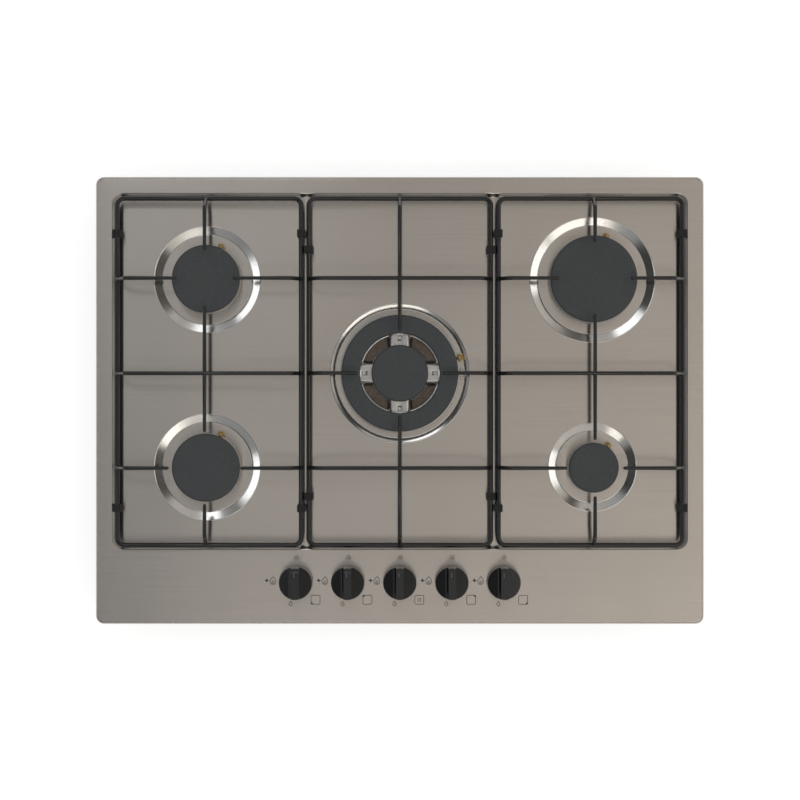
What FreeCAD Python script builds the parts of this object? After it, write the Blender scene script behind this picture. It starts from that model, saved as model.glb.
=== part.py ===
import FreeCAD, Part
import math
import os

# Five-burner gas cooktop for a worktop cut-out of 560 x 480 mm.
# Millimetres. +X right, +Y to the back, +Z up. The origin is under the plate's centre,
# on the flat base of the tray. Each sub-part is written to parts/NODE.step.

# ------------------------------------------------------------------ driving sizes

# levels
BODY_DEPTH = 48.0            # tray base to the worktop's top face
RIM_HEIGHT = 12.5            # worktop to the flat rim of the plate
WELL_DEPTH = 6.0             # rim down to the well floor
RECESS_DEPTH = 4.0           # well floor down to the floor under a burner
WOK_RECESS_DEPTH = 3.0

# pressed top plate
PLATE_WIDTH = 680.0
PLATE_LENGTH = 500.0
SHEET = 0.8
PLATE_CORNER = 9.0           # corner radius in plan
PLATE_EDGE = 3.0             # bend from the rim down into the skirt
LIP_WIDTH = 14.0             # return lip under the skirt
SIDE_RIM = 20.0              # flat rim beside and behind the well
CONTROL_STRIP = 85.0         # flat rim in front of the well, which carries the knobs
WELL_WIDTH = PLATE_WIDTH - 2 * SIDE_RIM
WELL_FRONT = CONTROL_STRIP - PLATE_LENGTH / 2
WELL_BACK = PLATE_LENGTH / 2 - SIDE_RIM
WELL_CORNER = 10.0
WELL_TOP_BEND = 2.0
WELL_FLOOR_BEND = 2.5
SEAL_THICKNESS = 2.0
SEAL_WIDTH = 10.0
SEAL_INSET = 2.0

# burners
BURNER_COLUMN = WELL_WIDTH / 2 - 104.3
REAR_ROW = WELL_BACK - 94.8
FRONT_ROW = WELL_FRONT + 90.2
SEMI_RAPID_CAP = 37.75       # cap radii
RAPID_CAP = 48.3
AUXILIARY_CAP = 27.7
WOK_CAP = 65.0
WOK_CAP_BORE = 44.3
WOK_CENTRE_CAP = 31.5
RECESS_MARGIN = 21.3         # recess edge beyond the cap
RECESS_SLOPE = 8.8           # width of the recess's conical side
WOK_RECESS_MARGIN = 12.0
WOK_RECESS_SLOPE = 3.0
CAP_TOP = 20.0               # cap top above the well floor
CAP_THICKNESS = 7.0
CAP_EDGE = 2.4               # rounding of the cap's upper edge
CROWN_LIP = 0.8              # crown's lip beyond the cap
CROWN_LIP_THICKNESS = 3.5
CROWN_PORT_INSET = 2.2       # port wall inside the cap's edge
CROWN_WALL = 3.6
CROWN_FLOOR = 2.5
CROWN_GUIDE_DROP = 3.0       # guide ring below the crown's floor
LOCATOR_DEPTH = 2.5          # ring under a cap, inside its crown
LOCATOR_WIDTH = 2.0
PORT_WIDTH = 2.0
PORT_HEIGHT = 6.0
PORT_SPACING = 7.0           # along the port wall
THROAT_RADIUS = 8.5
THROAT_BORE = 6.0
THROAT_DROP = 7.0            # throat below the crown's floor
ARM_WIDTH = 20.0             # bridging arms of the triple-ring burner
ARM_DEPTH = 9.0
ARM_DROP = 1.5               # arm tops below the caps' underside
ARM_SLOT_WIDTH = 4.4
ARM_SLOT_LENGTH = 4.0
ARM_SLOT_DEPTH = 2.0

# burner cups under the plate
COLLAR_INSET = 13.5          # collar inside the cap's edge
WOK_COLLAR_INSET = 8.0       # collar inside the centre cap's edge
COLLAR_HEIGHT = 4.0          # collar above the recess floor
CUP_WALL = 2.5
CUP_FLANGE = 4.0
CUP_DEPTH = 17.0             # bowl below the flange's top face
FEED_LEVEL = -13.0           # gas feed axis, from the worktop
FEED_BOSS_RADIUS = 5.5
FEED_BOSS_REACH = 10.0       # boss beyond the bowl
FEED_SOCKET_DEPTH = 8.0
JET_SEAT_WALL = 1.5          # centre boss beyond the feed boss's radius
INJECTOR_RADIUS = 4.0
INJECTOR_SHANK = 2.6
INJECTOR_HEIGHT = 6.0
INJECTOR_NOSE = 2.0
INJECTOR_NOSE_TIP = 1.6
JET_BORE = 0.5
GAS_DUCT_RADIUS = 1.5

# flame sensor and spark electrode beside each crown
PROBE_RADIUS = 2.2
PROBE_BUSH_RADIUS = 3.5
PROBE_BUSH_DROP = 3.0        # bush below the cup's flange
PROBE_BUSH_RISE = 6.0        # bush above the recess floor
PROBE_TOP = 16.0             # above the worktop
SPARK_RADIUS = 3.3
SPARK_TOP = 13.0
SPARK_EDGE = 1.0
SPARK_PIN_RADIUS = 0.8
SPARK_PIN_ROOT = 2.0         # pin inside the ceramic
SPARK_PIN_GAP = 3.0          # pin's end below the caps' underside
SPARK_INSET = 7.0            # electrode inside the cap's edge
SIDE_BURNER_SPARK_ANGLE = 30.0
WOK_SPARK_OFFSET = 3.6       # electrode outside the ring cap's edge
SPARK_NOTCH = 1.2            # crown's notch round the electrode
STEM_BOTTOM = -14.0          # probe and electrode stems, from the worktop

# base tray
TRAY_INSET_X = 65.0          # tray's sides from the plate's edges
TRAY_INSET_Y = 15.0
TRAY_WIDTH = PLATE_WIDTH - 2 * TRAY_INSET_X
TRAY_LENGTH = PLATE_LENGTH - 2 * TRAY_INSET_Y
TRAY_SHEET = 0.8
TRAY_CORNER = 6.0
TRAY_TOP = 1.0               # wall top above the worktop's face
POCKET_WIDTH = 42.0          # raised corner over the gas inlet
POCKET_LENGTH = 47.0
POCKET_RISE = 18.2
CLAMP_HOLE_RADIUS = 2.1
CLAMP_INSET_X = 65.0         # clamp holes from the tray's sides
CLAMP_INSET_Y = 13.0
CLAMP_SPACING_X = TRAY_WIDTH - 2 * CLAMP_INSET_X
CLAMP_SPACING_Y = TRAY_LENGTH - 2 * CLAMP_INSET_Y
VENT_LENGTH = 36.0
VENT_WIDTH = 4.0
VENT_PITCH = 14.0
VENT_COUNT = 6
BRACKET_WIDTH = 20.0
BRACKET_REACH = 16.0
BRACKET_SHEET = 1.5
BRACKET_LEG_BOTTOM = -12.0   # from the worktop
BRACKET_SCREW_LEVEL = -6.0

# pan-head screws, all one size
SCREW_RADIUS = 2.0
SCREW_HEAD_RADIUS = 3.5
SCREW_HEAD_HEIGHT = 2.6
SCREW_LENGTH = 8.0
SCREW_SLOT_WIDTH = 1.0
SCREW_SLOT_DEPTH = 1.2

# gas rail, taps and knobs
KNOB_ROW = 47.0 - PLATE_LENGTH / 2
KNOB_SPACING = 58.0
KNOB_COUNT = 5
RAIL_RADIUS = 7.0
RAIL_BORE = 5.8
RAIL_LEVEL = -30.0           # from the worktop
RAIL_END = 14.0              # rail beyond the first tap
RAIL_BEND = 26.0
RAIL_END_WALL = 3.0
INLET_LEVEL = -17.0
INLET_X = TRAY_WIDTH / 2 - 17.0
INLET_Y = TRAY_LENGTH / 2 - 23.0
ELBOW_RADIUS = 11.0
ELBOW_SOCKET_DEPTH = 12.0
INLET_NECK_RADIUS = 12.0     # neck through the tray
INLET_NECK_DROP = 2.0        # neck below the raised corner
THREAD_RADIUS = 10.48        # R 1/2 male thread
THREAD_LENGTH = 15.0
THREAD_BORE = 7.0
TAP_RADIUS = 13.5
TAP_BOTTOM = -44.0           # from the worktop
TAP_TOP = -6.0
BONNET_HEIGHT = 3.0
SADDLE_WIDTH = 14.0
SADDLE_HEIGHT = 32.0
STRAP_THICKNESS = 1.5
STRAP_SCREW_OFFSET = 12.0
TAP_OUTLET_REACH = 6.0
TAP_OUTLET_RADIUS = 6.0
TAP_SOCKET_DEPTH = 8.0
MAGNET_OFFSET = 10.0
MAGNET_LEVEL = -38.0
MAGNET_RADIUS = 5.0
MAGNET_FRONT = 4.0           # magnet's housing either side of the tap's axis
MAGNET_REAR = 14.5
PLUG_TOP_RADIUS = 9.0
PLUG_BOTTOM_RADIUS = 7.0
PLUG_TOP = -10.0
PLUG_BOTTOM = -40.0
PLUG_POCKET_RADIUS = 6.0
PLUG_POCKET_DEPTH = 10.0
PLUG_DUCT_RADIUS = 2.0
TONGUE_THICKNESS = 3.0
TONGUE_WIDTH = 7.6
TONGUE_SLOT_DEPTH = 6.0
TONGUE_DROP = 1.5            # tongue below the pocket's floor at rest
SPINDLE_RADIUS = 4.0
SPINDLE_COLLAR_RADIUS = 5.7
SPINDLE_COLLAR_HEIGHT = 1.8
SPINDLE_FLAT = 2.7           # flat of the D end, from the axis
SPINDLE_IN_KNOB = 15.0       # D end above the knob's lower edge
SPRING_WIRE = 0.4            # wire radius
SPRING_RADIUS = 5.0
SPRING_TURNS = 5.0
SPRING_GAP = 0.1             # between the spring's ends and their seats
KNOB_TRAVEL = 4.0
KNOB_GAP = 0.8               # left under a pressed knob
KNOB_BASE_RADIUS = 19.0
KNOB_TOP_RADIUS = 17.2
KNOB_HEIGHT = 23.2
KNOB_WALL = 2.2
KNOB_HOLLOW = 5.2
KNOB_HUB_RADIUS = 7.0
KNOB_SEAL_SPACE = 8.0        # hollow round the seal under the hub
GRIP_HALF_WIDTH = 4.2
SCOOP_RADIUS = 16.0
SCOOP_RAISE = 1.0
GRIP_EDGE = 1.0
KNOB_SEAL_RADIUS = 10.0
KNOB_SEAL_HEIGHT = 2.2
KNOB_SEAL_EDGE = 0.8
KNOB_SEAL_LIP_RADIUS = 7.2
KNOB_SEAL_LIP = 1.4
KNOB_HOLE_RADIUS = 6.0
SWITCH_WIDTH = 20.0
SWITCH_LENGTH = 16.0
SWITCH_HEIGHT = 7.0
SWITCH_CORNER = 1.5

# pan supports
FRAME_WIRE = 2.75            # wire radii
FINGER_WIRE = 2.25
FRAME_LEVEL = 15.0           # frame wire's axis above the well floor
FINGER_LEVEL = 31.0          # finger's axis above the well floor
FRAME_CORNER = 8.0
FINGER_RISE_RUN = 11.0       # horizontal run of the rising end
FINGER_BEND = 7.0
CENTRE_SUPPORT_HALF = 101.3  # frame wire axes
SUPPORT_GAP = 2.9            # between neighbouring supports
SIDE_SUPPORT_INNER = CENTRE_SUPPORT_HALF + 2 * FRAME_WIRE + SUPPORT_GAP
SIDE_SUPPORT_OUTER = WELL_WIDTH / 2 - 5.4
SUPPORT_FRONT = WELL_FRONT + 4.0
SUPPORT_BACK = WELL_BACK - 5.3
MID_BAR = (REAR_ROW + FRONT_ROW) / 2 - 0.2
SMALL_OPENING = 31.0         # finger tips from the burner's axis
LARGE_OPENING = 39.5
WOK_OPENING = 46.5
FOOT_WIDTH = 9.0
FOOT_TOP_EDGE = 1.2
FOOT_FLOOR_EDGE = 2.0
FOOT_LENGTH = 8.0
FOOT_ABOVE_WIRE = 4.0
SIDE_FOOT_ROWS = (SUPPORT_BACK - 38.7, SUPPORT_FRONT + 41.0)
CENTRE_FOOT_ROWS = (SUPPORT_BACK - 56.7, SUPPORT_FRONT + 54.0)

# spark generator, terminal block, gland and leads
GENERATOR_WIDTH = 76.0
GENERATOR_LENGTH = 34.0
GENERATOR_HEIGHT = 26.0
GENERATOR_Y = TRAY_LENGTH / 2 - 35.0
GENERATOR_CORNER = 3.0
GENERATOR_PITCH = 8.0
SOCKET_RADIUS = 2.6
SOCKET_REACH = 5.0
TERMINAL_X = -70.0
TERMINAL_WIDTH = 24.0
TERMINAL_LENGTH = 20.0
TERMINAL_HEIGHT = 16.0
TERMINAL_CORNER = 2.0
GLAND_X = -70.0
GLAND_LEVEL = -30.0
GLAND_RADIUS = 8.0
GLAND_FLANGE_RADIUS = 11.0
GLAND_FLANGE = 3.5
GLAND_INSIDE = 9.0
GLAND_NUT = 4.0
GLAND_BORE = 3.5
FEED_TUBE_RADIUS = 4.0
FEED_TUBE_BORE = 3.0
FEED_TUBE_BEND = 14.0
FEED_SIDESTEP = 20.0         # length of a tube's slanting run
WOK_FEED_LEVEL_RUN = 45.0    # level run out of the middle tap
WOK_FEED_END_RUN = 25.0      # level run into the middle cup
SENSOR_LEAD_RADIUS = 0.9
SENSOR_LEAD_LEVEL = -38.0
SENSOR_LEAD_BEND = 9.0
SPARK_LEAD_RADIUS = 1.25
SPARK_LEAD_BEND = 10.0
SWITCH_LEAD_RADIUS = 1.0
SWITCH_LEAD_REACH = 20.0     # lead's run back before it drops to the floor
SWITCH_LEAD_SHIFT = (60.0, 45.0)
MAINS_WIRE_RADIUS = 1.2
MAINS_WIRE_PITCH = 5.0

# clearances
FIT = 0.05                   # radial running and seating clearance
LOOSE = 0.3                  # between parts that lift or turn past each other
HOLE_CLEARANCE = 0.5         # holes in sheet round what passes through
OVERCUT = 1.0                # a cutter beyond the face that it opens

# ------------------------------------------------------------------ derived levels

WORKTOP = BODY_DEPTH
RIM = WORKTOP + RIM_HEIGHT
WELL = RIM - WELL_DEPTH
RECESS = WELL - RECESS_DEPTH
WOK_RECESS = WELL - WOK_RECESS_DEPTH
LIP = WORKTOP + SEAL_THICKNESS
TRAY_FLOOR = TRAY_SHEET
CAP_UNDERSIDE = WELL + CAP_TOP - CAP_THICKNESS
WOK_ROW = (REAR_ROW + FRONT_ROW) / 2
TAP_XS = [(i - (KNOB_COUNT - 1) / 2) * KNOB_SPACING for i in range(KNOB_COUNT)]
RAIL_Y = KNOB_ROW - TAP_RADIUS - RAIL_RADIUS
KNOB_BOTTOM = RIM + KNOB_TRAVEL + KNOB_GAP
UP = FreeCAD.Vector(0, 0, 1)
BACK = FreeCAD.Vector(0, 1, 0)
RIGHT = FreeCAD.Vector(1, 0, 0)


class Burner:
    """One burner's place and the sizes that differ from burner to burner."""

    def __init__(self, name, x, y, cap, probe_offset, probe_angle, spark_angle):
        self.name = name
        self.x = x
        self.y = y
        self.cap = cap
        self.is_wok = name == "wok"
        self.probe = cap + probe_offset
        self.probe_angle = probe_angle
        self.spark = cap + WOK_SPARK_OFFSET if self.is_wok else cap - SPARK_INSET
        self.spark_angle = spark_angle
        self.floor = WOK_RECESS if self.is_wok else RECESS
        self.underside = self.floor - SHEET
        inner_cap = WOK_CENTRE_CAP if self.is_wok else cap
        self.port_wall = inner_cap - CROWN_PORT_INSET
        self.collar = inner_cap - (WOK_COLLAR_INSET if self.is_wok else COLLAR_INSET)
        margin = WOK_RECESS_MARGIN if self.is_wok else RECESS_MARGIN
        slope = WOK_RECESS_SLOPE if self.is_wok else RECESS_SLOPE
        self.recess_edge = cap + margin
        self.recess_floor_edge = self.recess_edge - slope
        self.crown_bottom = self.floor + COLLAR_HEIGHT
        # two screws, turned clear of the electrode, the probe and the feed boss
        self.screw_radius = self.collar + SCREW_HEAD_RADIUS + HOLE_CLEARANCE
        self.screw_angles = (150.0, 330.0) if self.x > 0 else (30.0, 210.0)

    def around(self, radius, angle, z=0.0):
        turn = math.radians(angle)
        return FreeCAD.Vector(self.x + radius * math.cos(turn), self.y + radius * math.sin(turn), z)

    def probe_at(self, z=0.0):
        return self.around(self.probe, self.probe_angle, z)

    def spark_at(self, z=0.0):
        return self.around(self.spark, self.spark_angle, z)


LEFT_SPARK = -SIDE_BURNER_SPARK_ANGLE
RIGHT_SPARK = 180.0 + SIDE_BURNER_SPARK_ANGLE
BURNERS = [
    Burner("front_left", -BURNER_COLUMN, FRONT_ROW, SEMI_RAPID_CAP, 1.6, 67.0, LEFT_SPARK),
    Burner("rear_left", -BURNER_COLUMN, REAR_ROW, SEMI_RAPID_CAP, 1.6, 67.0, LEFT_SPARK),
    Burner("wok", 0.0, WOK_ROW, WOK_CAP, 3.8, 14.8, 0.0),
    Burner("rear_right", BURNER_COLUMN, REAR_ROW, RAPID_CAP, 2.1, 72.6, RIGHT_SPARK),
    Burner("front_right", BURNER_COLUMN, FRONT_ROW, AUXILIARY_CAP, 1.6, 54.6, RIGHT_SPARK),
]

# ------------------------------------------------------------------ helpers


def save(name, *solids):
    """Write one node: a single solid, or a group of separate ones."""
    shape = solids[0] if len(solids) == 1 else Part.makeCompound(list(solids))
    print(name, len(shape.Solids), round(shape.Volume), shape.isValid())
    shape.exportStep(os.path.join("parts", name + ".step"))


def one_solid(shape):
    """The single solid of a finished boolean, with its seams merged where they merge cleanly."""
    merged = shape.copy().removeSplitter()
    if merged.isValid():
        shape = merged
    if len(shape.Solids) != 1:
        raise ValueError("expected one solid, got %d" % len(shape.Solids))
    return shape.Solids[0]


def cylinder(radius, bottom, top, x=0.0, y=0.0):
    return Part.makeCylinder(radius, top - bottom, FreeCAD.Vector(x, y, bottom))


def rod(radius, start, end):
    return Part.makeCylinder(radius, (end - start).Length, start, end - start)


def cone(bottom_radius, top_radius, bottom, top, x=0.0, y=0.0):
    base = FreeCAD.Vector(x, y, bottom)
    return Part.makeCone(bottom_radius, top_radius, top - bottom, base)


def ring(outer, inner, bottom, top, x=0.0, y=0.0):
    return cylinder(outer, bottom, top, x, y).cut(cylinder(inner, bottom - 1, top + 1, x, y))


def box(x0, x1, y0, y1, z0, z1):
    return Part.makeBox(x1 - x0, y1 - y0, z1 - z0, FreeCAD.Vector(x0, y0, z0))


def fillet(shape, radius, chosen):
    """Round the edges that the test picks."""
    return shape.makeFillet(radius, [edge for edge in shape.Edges if chosen(edge)])


def is_upright(edge):
    return edge.BoundBox.ZLength > max(edge.BoundBox.XLength, edge.BoundBox.YLength) + 0.1


def lies_at(z):
    return lambda edge: abs(edge.BoundBox.ZMin - z) < 1e-4 and abs(edge.BoundBox.ZMax - z) < 1e-4


def rounded_box(x0, x1, y0, y1, z0, z1, corner):
    return fillet(box(x0, x1, y0, y1, z0, z1), corner, is_upright)


def bent_path(points, bend):
    """Straight runs through the points, each corner rounded by a tangent arc."""
    edges = []
    start = points[0]
    for before, corner, after in zip(points, points[1:], points[2:]):
        into = (corner - before).normalize()
        out = (after - corner).normalize()
        turn = into.getAngle(out)
        reach = min(bend * math.tan(turn / 2), 0.45 * (corner - before).Length,
                    0.45 * (after - corner).Length)
        radius = reach / math.tan(turn / 2)
        first = corner - into * reach
        last = corner + out * reach
        centre = corner + (out - into).normalize() * (radius / math.cos(turn / 2))
        middle = centre + (corner - centre).normalize() * radius
        edges.append(Part.makeLine(start, first))
        edges.append(Part.Arc(first, middle, last).toShape())
        start = last
    edges.append(Part.makeLine(start, points[-1]))
    return Part.Wire(edges)


def bent_rod(points, bend, radius):
    """A round bar or lead along straight runs and tangent arcs."""
    path = bent_path(points, bend)
    section = Part.Wire(Part.makeCircle(radius, points[0], points[1] - points[0]))
    return path.makePipeShell([section], True, False)


def bent_tube(points, bend, radius, bore):
    return bent_rod(points, bend, radius).cut(bent_rod(points, bend, bore))


def screw(seat, direction):
    """A pan-head screw whose head stands on the seat, its shank the other way."""
    head_top = seat + direction * SCREW_HEAD_HEIGHT
    body = rod(SCREW_HEAD_RADIUS, seat, head_top)
    rim = [e for e in body.Edges if e.Closed and (e.CenterOfMass - head_top).Length < 1e-4]
    body = body.makeFillet(SCREW_HEAD_HEIGHT / 3, rim)
    body = body.fuse(rod(SCREW_RADIUS, seat - direction * SCREW_LENGTH, seat))
    span = 0.6 * SCREW_HEAD_RADIUS
    across = BACK if abs(direction.x) > 0.5 else RIGHT
    for along in (across, direction.cross(across)):
        other = direction.cross(along)
        corner = head_top - along * span - other * (SCREW_SLOT_WIDTH / 2)
        wire = Part.makePolygon([corner, corner + along * (2 * span),
                                 corner + along * (2 * span) + other * SCREW_SLOT_WIDTH,
                                 corner + other * SCREW_SLOT_WIDTH, corner])
        body = body.cut(Part.Face(wire).extrude(direction * -SCREW_SLOT_DEPTH))
    return one_solid(body)


# ------------------------------------------------------------------ top plate


def pressed_block(inset):
    """The plate's upper surface as a block, or its underside when set in by the sheet."""
    half_width = PLATE_WIDTH / 2 - inset
    half_length = PLATE_LENGTH / 2 - inset
    block = rounded_box(-half_width, half_width, -half_length, half_length,
                        WORKTOP - inset, RIM - inset, PLATE_CORNER - inset)
    block = fillet(block, PLATE_EDGE - inset, lies_at(RIM - inset))
    well = rounded_box(-WELL_WIDTH / 2 - inset, WELL_WIDTH / 2 + inset, WELL_FRONT - inset,
                       WELL_BACK + inset, WELL - inset, RIM + 1, WELL_CORNER + inset)
    well = fillet(well, WELL_FLOOR_BEND + inset, lies_at(WELL - inset))
    block = block.cut(well)
    well_rim = half_width - PLATE_EDGE - 1
    block = fillet(block, WELL_TOP_BEND - inset, lambda edge: lies_at(RIM - inset)(edge)
                   and max(abs(edge.BoundBox.XMin), abs(edge.BoundBox.XMax)) < well_rim
                   and edge.BoundBox.YMax < WELL_BACK + inset + 1
                   and edge.BoundBox.YMin > WELL_FRONT - inset - 1)
    for burner in BURNERS:
        depth = WELL - burner.floor
        slope = math.atan2(depth, burner.recess_edge - burner.recess_floor_edge)
        grow = inset * math.tan(slope / 2)
        block = block.cut(cone(burner.recess_floor_edge + grow, burner.recess_edge + grow,
                               burner.floor - inset, WELL - inset, burner.x, burner.y))
    return block


def plate_holes():
    """Everything that passes through the plate, as one group of cutters."""
    below = WORKTOP - 10
    cutters = [cylinder(KNOB_HOLE_RADIUS, below, RIM + 1, x, KNOB_ROW) for x in TAP_XS]
    for burner in BURNERS:
        cutters.append(cylinder(burner.collar + LOOSE, below, WELL, burner.x, burner.y))
        spark = burner.spark_at()
        probe = burner.probe_at()
        cutters.append(cylinder(SPARK_RADIUS + HOLE_CLEARANCE, below, WELL, spark.x, spark.y))
        cutters.append(cylinder(PROBE_BUSH_RADIUS + FIT, below, WELL, probe.x, probe.y))
        for angle in burner.screw_angles:
            place = burner.around(burner.screw_radius, angle)
            cutters.append(cylinder(SCREW_RADIUS + FIT, below, WELL, place.x, place.y))
    return Part.makeCompound(cutters)


def make_top_plate():
    sheet = pressed_block(0.0).cut(pressed_block(SHEET))
    half_width = PLATE_WIDTH / 2
    half_length = PLATE_LENGTH / 2
    outside = box(-half_width - 1, half_width + 1, -half_length - 1, half_length + 1,
                  WORKTOP - 5, LIP)
    inside = box(LIP_WIDTH - half_width, half_width - LIP_WIDTH, LIP_WIDTH - half_length,
                 half_length - LIP_WIDTH, WORKTOP - 6, LIP + 1)
    sheet = sheet.cut(outside.cut(inside))
    lip = rounded_box(-half_width, half_width, -half_length, half_length, LIP, LIP + SHEET,
                      PLATE_CORNER)
    sheet = sheet.fuse(lip.cut(inside))
    return one_solid(sheet.cut(plate_holes()))


def make_worktop_seal():
    half_width = PLATE_WIDTH / 2 - SEAL_INSET
    half_length = PLATE_LENGTH / 2 - SEAL_INSET
    outer = rounded_box(-half_width, half_width, -half_length, half_length, WORKTOP, LIP,
                        PLATE_CORNER - SEAL_INSET)
    inner = box(SEAL_WIDTH - half_width, half_width - SEAL_WIDTH, SEAL_WIDTH - half_length,
                half_length - SEAL_WIDTH, WORKTOP - 1, LIP + 1)
    return outer.cut(inner)


# ------------------------------------------------------------------ tray and brackets


def tray_block(inset):
    """The tray's outside as a block with the raised inlet corner, or its inside when inset."""
    half_width = TRAY_WIDTH / 2 - inset
    half_length = TRAY_LENGTH / 2 - inset
    block = rounded_box(-half_width, half_width, -half_length, half_length, inset,
                        WORKTOP + TRAY_TOP + inset, TRAY_CORNER - inset)
    pocket = box(TRAY_WIDTH / 2 - POCKET_WIDTH - inset, TRAY_WIDTH / 2 + 1,
                 TRAY_LENGTH / 2 - POCKET_LENGTH - inset, TRAY_LENGTH / 2 + 1,
                 -1, POCKET_RISE + inset)
    return block.cut(pocket)


# brackets: wall side, place along the wall, and the level of the sheet above
SIDE_BRACKET_ROWS = (-150.0, 30.0, 208.0)
FRONT_BRACKET_COLUMNS = (-200.0, 200.0)
REAR_BRACKET_COLUMNS = (-160.0, 160.0)


def bracket_places():
    """Each bracket's foot on the wall, its outward direction and the level it reaches."""
    inner_x = TRAY_WIDTH / 2 - TRAY_SHEET
    inner_y = TRAY_LENGTH / 2 - TRAY_SHEET
    places = []
    for side in (-1, 1):
        for row in SIDE_BRACKET_ROWS:
            places.append((FreeCAD.Vector(side * inner_x, row, 0), RIGHT * side, WELL - SHEET))
    for column in REAR_BRACKET_COLUMNS:
        places.append((FreeCAD.Vector(column, inner_y, 0), BACK, WELL - SHEET))
    for column in FRONT_BRACKET_COLUMNS:
        places.append((FreeCAD.Vector(column, -inner_y, 0), BACK * -1, RIM - SHEET))
    return places


def make_bracket(foot, outward, top):
    """An angle bracket: one leg down the tray wall, one under the plate."""
    along = UP.cross(outward)
    corner = foot - along * (BRACKET_WIDTH / 2)
    corner.z = top
    leg_bottom = WORKTOP + BRACKET_LEG_BOTTOM
    outline = [(0, 0), (0, leg_bottom - top), (-BRACKET_SHEET, leg_bottom - top),
               (-BRACKET_SHEET, -BRACKET_SHEET), (-BRACKET_REACH, -BRACKET_SHEET),
               (-BRACKET_REACH, 0)]
    points = [corner + outward * out + UP * rise for out, rise in outline]
    body = Part.Face(Part.makePolygon(points + points[:1])).extrude(along * BRACKET_WIDTH)
    hole = foot + UP * (WORKTOP + BRACKET_SCREW_LEVEL)
    return body.cut(rod(SCREW_RADIUS + FIT, hole - outward * 5, hole + outward * 5))


def wall_screw_places():
    """Seats of the screws through the tray's walls, with their outward directions."""
    return [(foot + outward * TRAY_SHEET + UP * (WORKTOP + BRACKET_SCREW_LEVEL), outward)
            for foot, outward, _ in bracket_places()]


def make_base_tray():
    tray = tray_block(0.0).cut(tray_block(TRAY_SHEET))
    cutters = []
    for seat, outward in wall_screw_places():
        cutters.append(rod(SCREW_RADIUS + FIT, seat - outward * 3, seat + outward * 3))
    for x in (-CLAMP_SPACING_X / 2, CLAMP_SPACING_X / 2):
        for y in (-CLAMP_SPACING_Y / 2, CLAMP_SPACING_Y / 2):
            cutters.append(cylinder(CLAMP_HOLE_RADIUS, -1, TRAY_SHEET + 1, x, y))
    cutters.append(cylinder(INLET_NECK_RADIUS + HOLE_CLEARANCE, POCKET_RISE - 1,
                            POCKET_RISE + TRAY_SHEET + 1, INLET_X, INLET_Y))
    gland = FreeCAD.Vector(GLAND_X, TRAY_LENGTH / 2, WORKTOP + GLAND_LEVEL)
    cutters.append(rod(GLAND_RADIUS + FIT, gland - BACK * 3, gland + BACK * 3))
    for side in (-1, 1):
        for row in (FRONT_ROW, REAR_ROW):
            for i in range(VENT_COUNT):
                y = row + (i - (VENT_COUNT - 1) / 2) * VENT_PITCH
                x = side * BURNER_COLUMN
                if not (side > 0 and y > TRAY_LENGTH / 2 - POCKET_LENGTH - VENT_PITCH):
                    cutters.append(rounded_box(x - VENT_LENGTH / 2, x + VENT_LENGTH / 2,
                                               y - VENT_WIDTH / 2, y + VENT_WIDTH / 2,
                                               -1, TRAY_SHEET + 1, VENT_WIDTH * 0.45))
    return one_solid(tray.cut(Part.makeCompound(cutters)))


# ------------------------------------------------------------------ burners


def make_cup(burner):
    """The cast holder under the plate: bowl, collar, feed boss, probe and electrode lugs."""
    x, y = burner.x, burner.y
    top = burner.underside
    flange_bottom = top - CUP_FLANGE
    bowl_bottom = top - CUP_DEPTH
    flange = burner.screw_radius + SCREW_HEAD_RADIUS + 1
    body = cylinder(flange, flange_bottom, top, x, y)
    for place in (burner.probe_at(flange_bottom), burner.spark_at(flange_bottom)):
        centre = FreeCAD.Vector(x, y, flange_bottom)
        reach = place - centre
        across = UP.cross(reach).normalize() * SPARK_RADIUS
        web = Part.makePolygon([centre - across, place - across, place + across,
                                centre + across, centre - across])
        body = body.fuse(Part.Face(web).extrude(UP * CUP_FLANGE))
        body = body.fuse(cylinder(SPARK_RADIUS + CUP_WALL, flange_bottom, top, place.x, place.y))
    body = body.fuse(cylinder(burner.collar, bowl_bottom, burner.crown_bottom, x, y))
    body = body.cut(cylinder(burner.collar - CUP_WALL, bowl_bottom + CUP_WALL,
                             burner.crown_bottom + 1, x, y))
    feed = WORKTOP + FEED_LEVEL
    centre = FreeCAD.Vector(x, y, feed)
    mouth = centre - BACK * (burner.collar + FEED_BOSS_REACH)
    injector_seat = feed + FEED_BOSS_RADIUS
    body = body.fuse(rod(FEED_BOSS_RADIUS, centre, mouth))
    body = body.fuse(cylinder(FEED_BOSS_RADIUS + JET_SEAT_WALL, bowl_bottom, injector_seat, x, y))
    body = body.cut(rod(FEED_TUBE_RADIUS + FIT, mouth, mouth + BACK * FEED_SOCKET_DEPTH))
    body = body.cut(rod(GAS_DUCT_RADIUS, centre, mouth))
    body = body.cut(cylinder(GAS_DUCT_RADIUS, feed, injector_seat + 1, x, y))
    body = body.cut(cylinder(INJECTOR_SHANK + FIT, feed + GAS_DUCT_RADIUS + HOLE_CLEARANCE,
                             injector_seat + OVERCUT, x, y))
    probe = burner.probe_at()
    spark = burner.spark_at()
    body = body.cut(cylinder(PROBE_BUSH_RADIUS + FIT, flange_bottom - 1, top + 1,
                             probe.x, probe.y))
    body = body.cut(cylinder(SPARK_RADIUS + FIT, flange_bottom - 1, top + 1, spark.x, spark.y))
    for angle in burner.screw_angles:
        place = burner.around(burner.screw_radius, angle)
        body = body.cut(cylinder(SCREW_RADIUS + FIT, flange_bottom - 1, top + 1,
                                 place.x, place.y))
    return one_solid(body)


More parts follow.
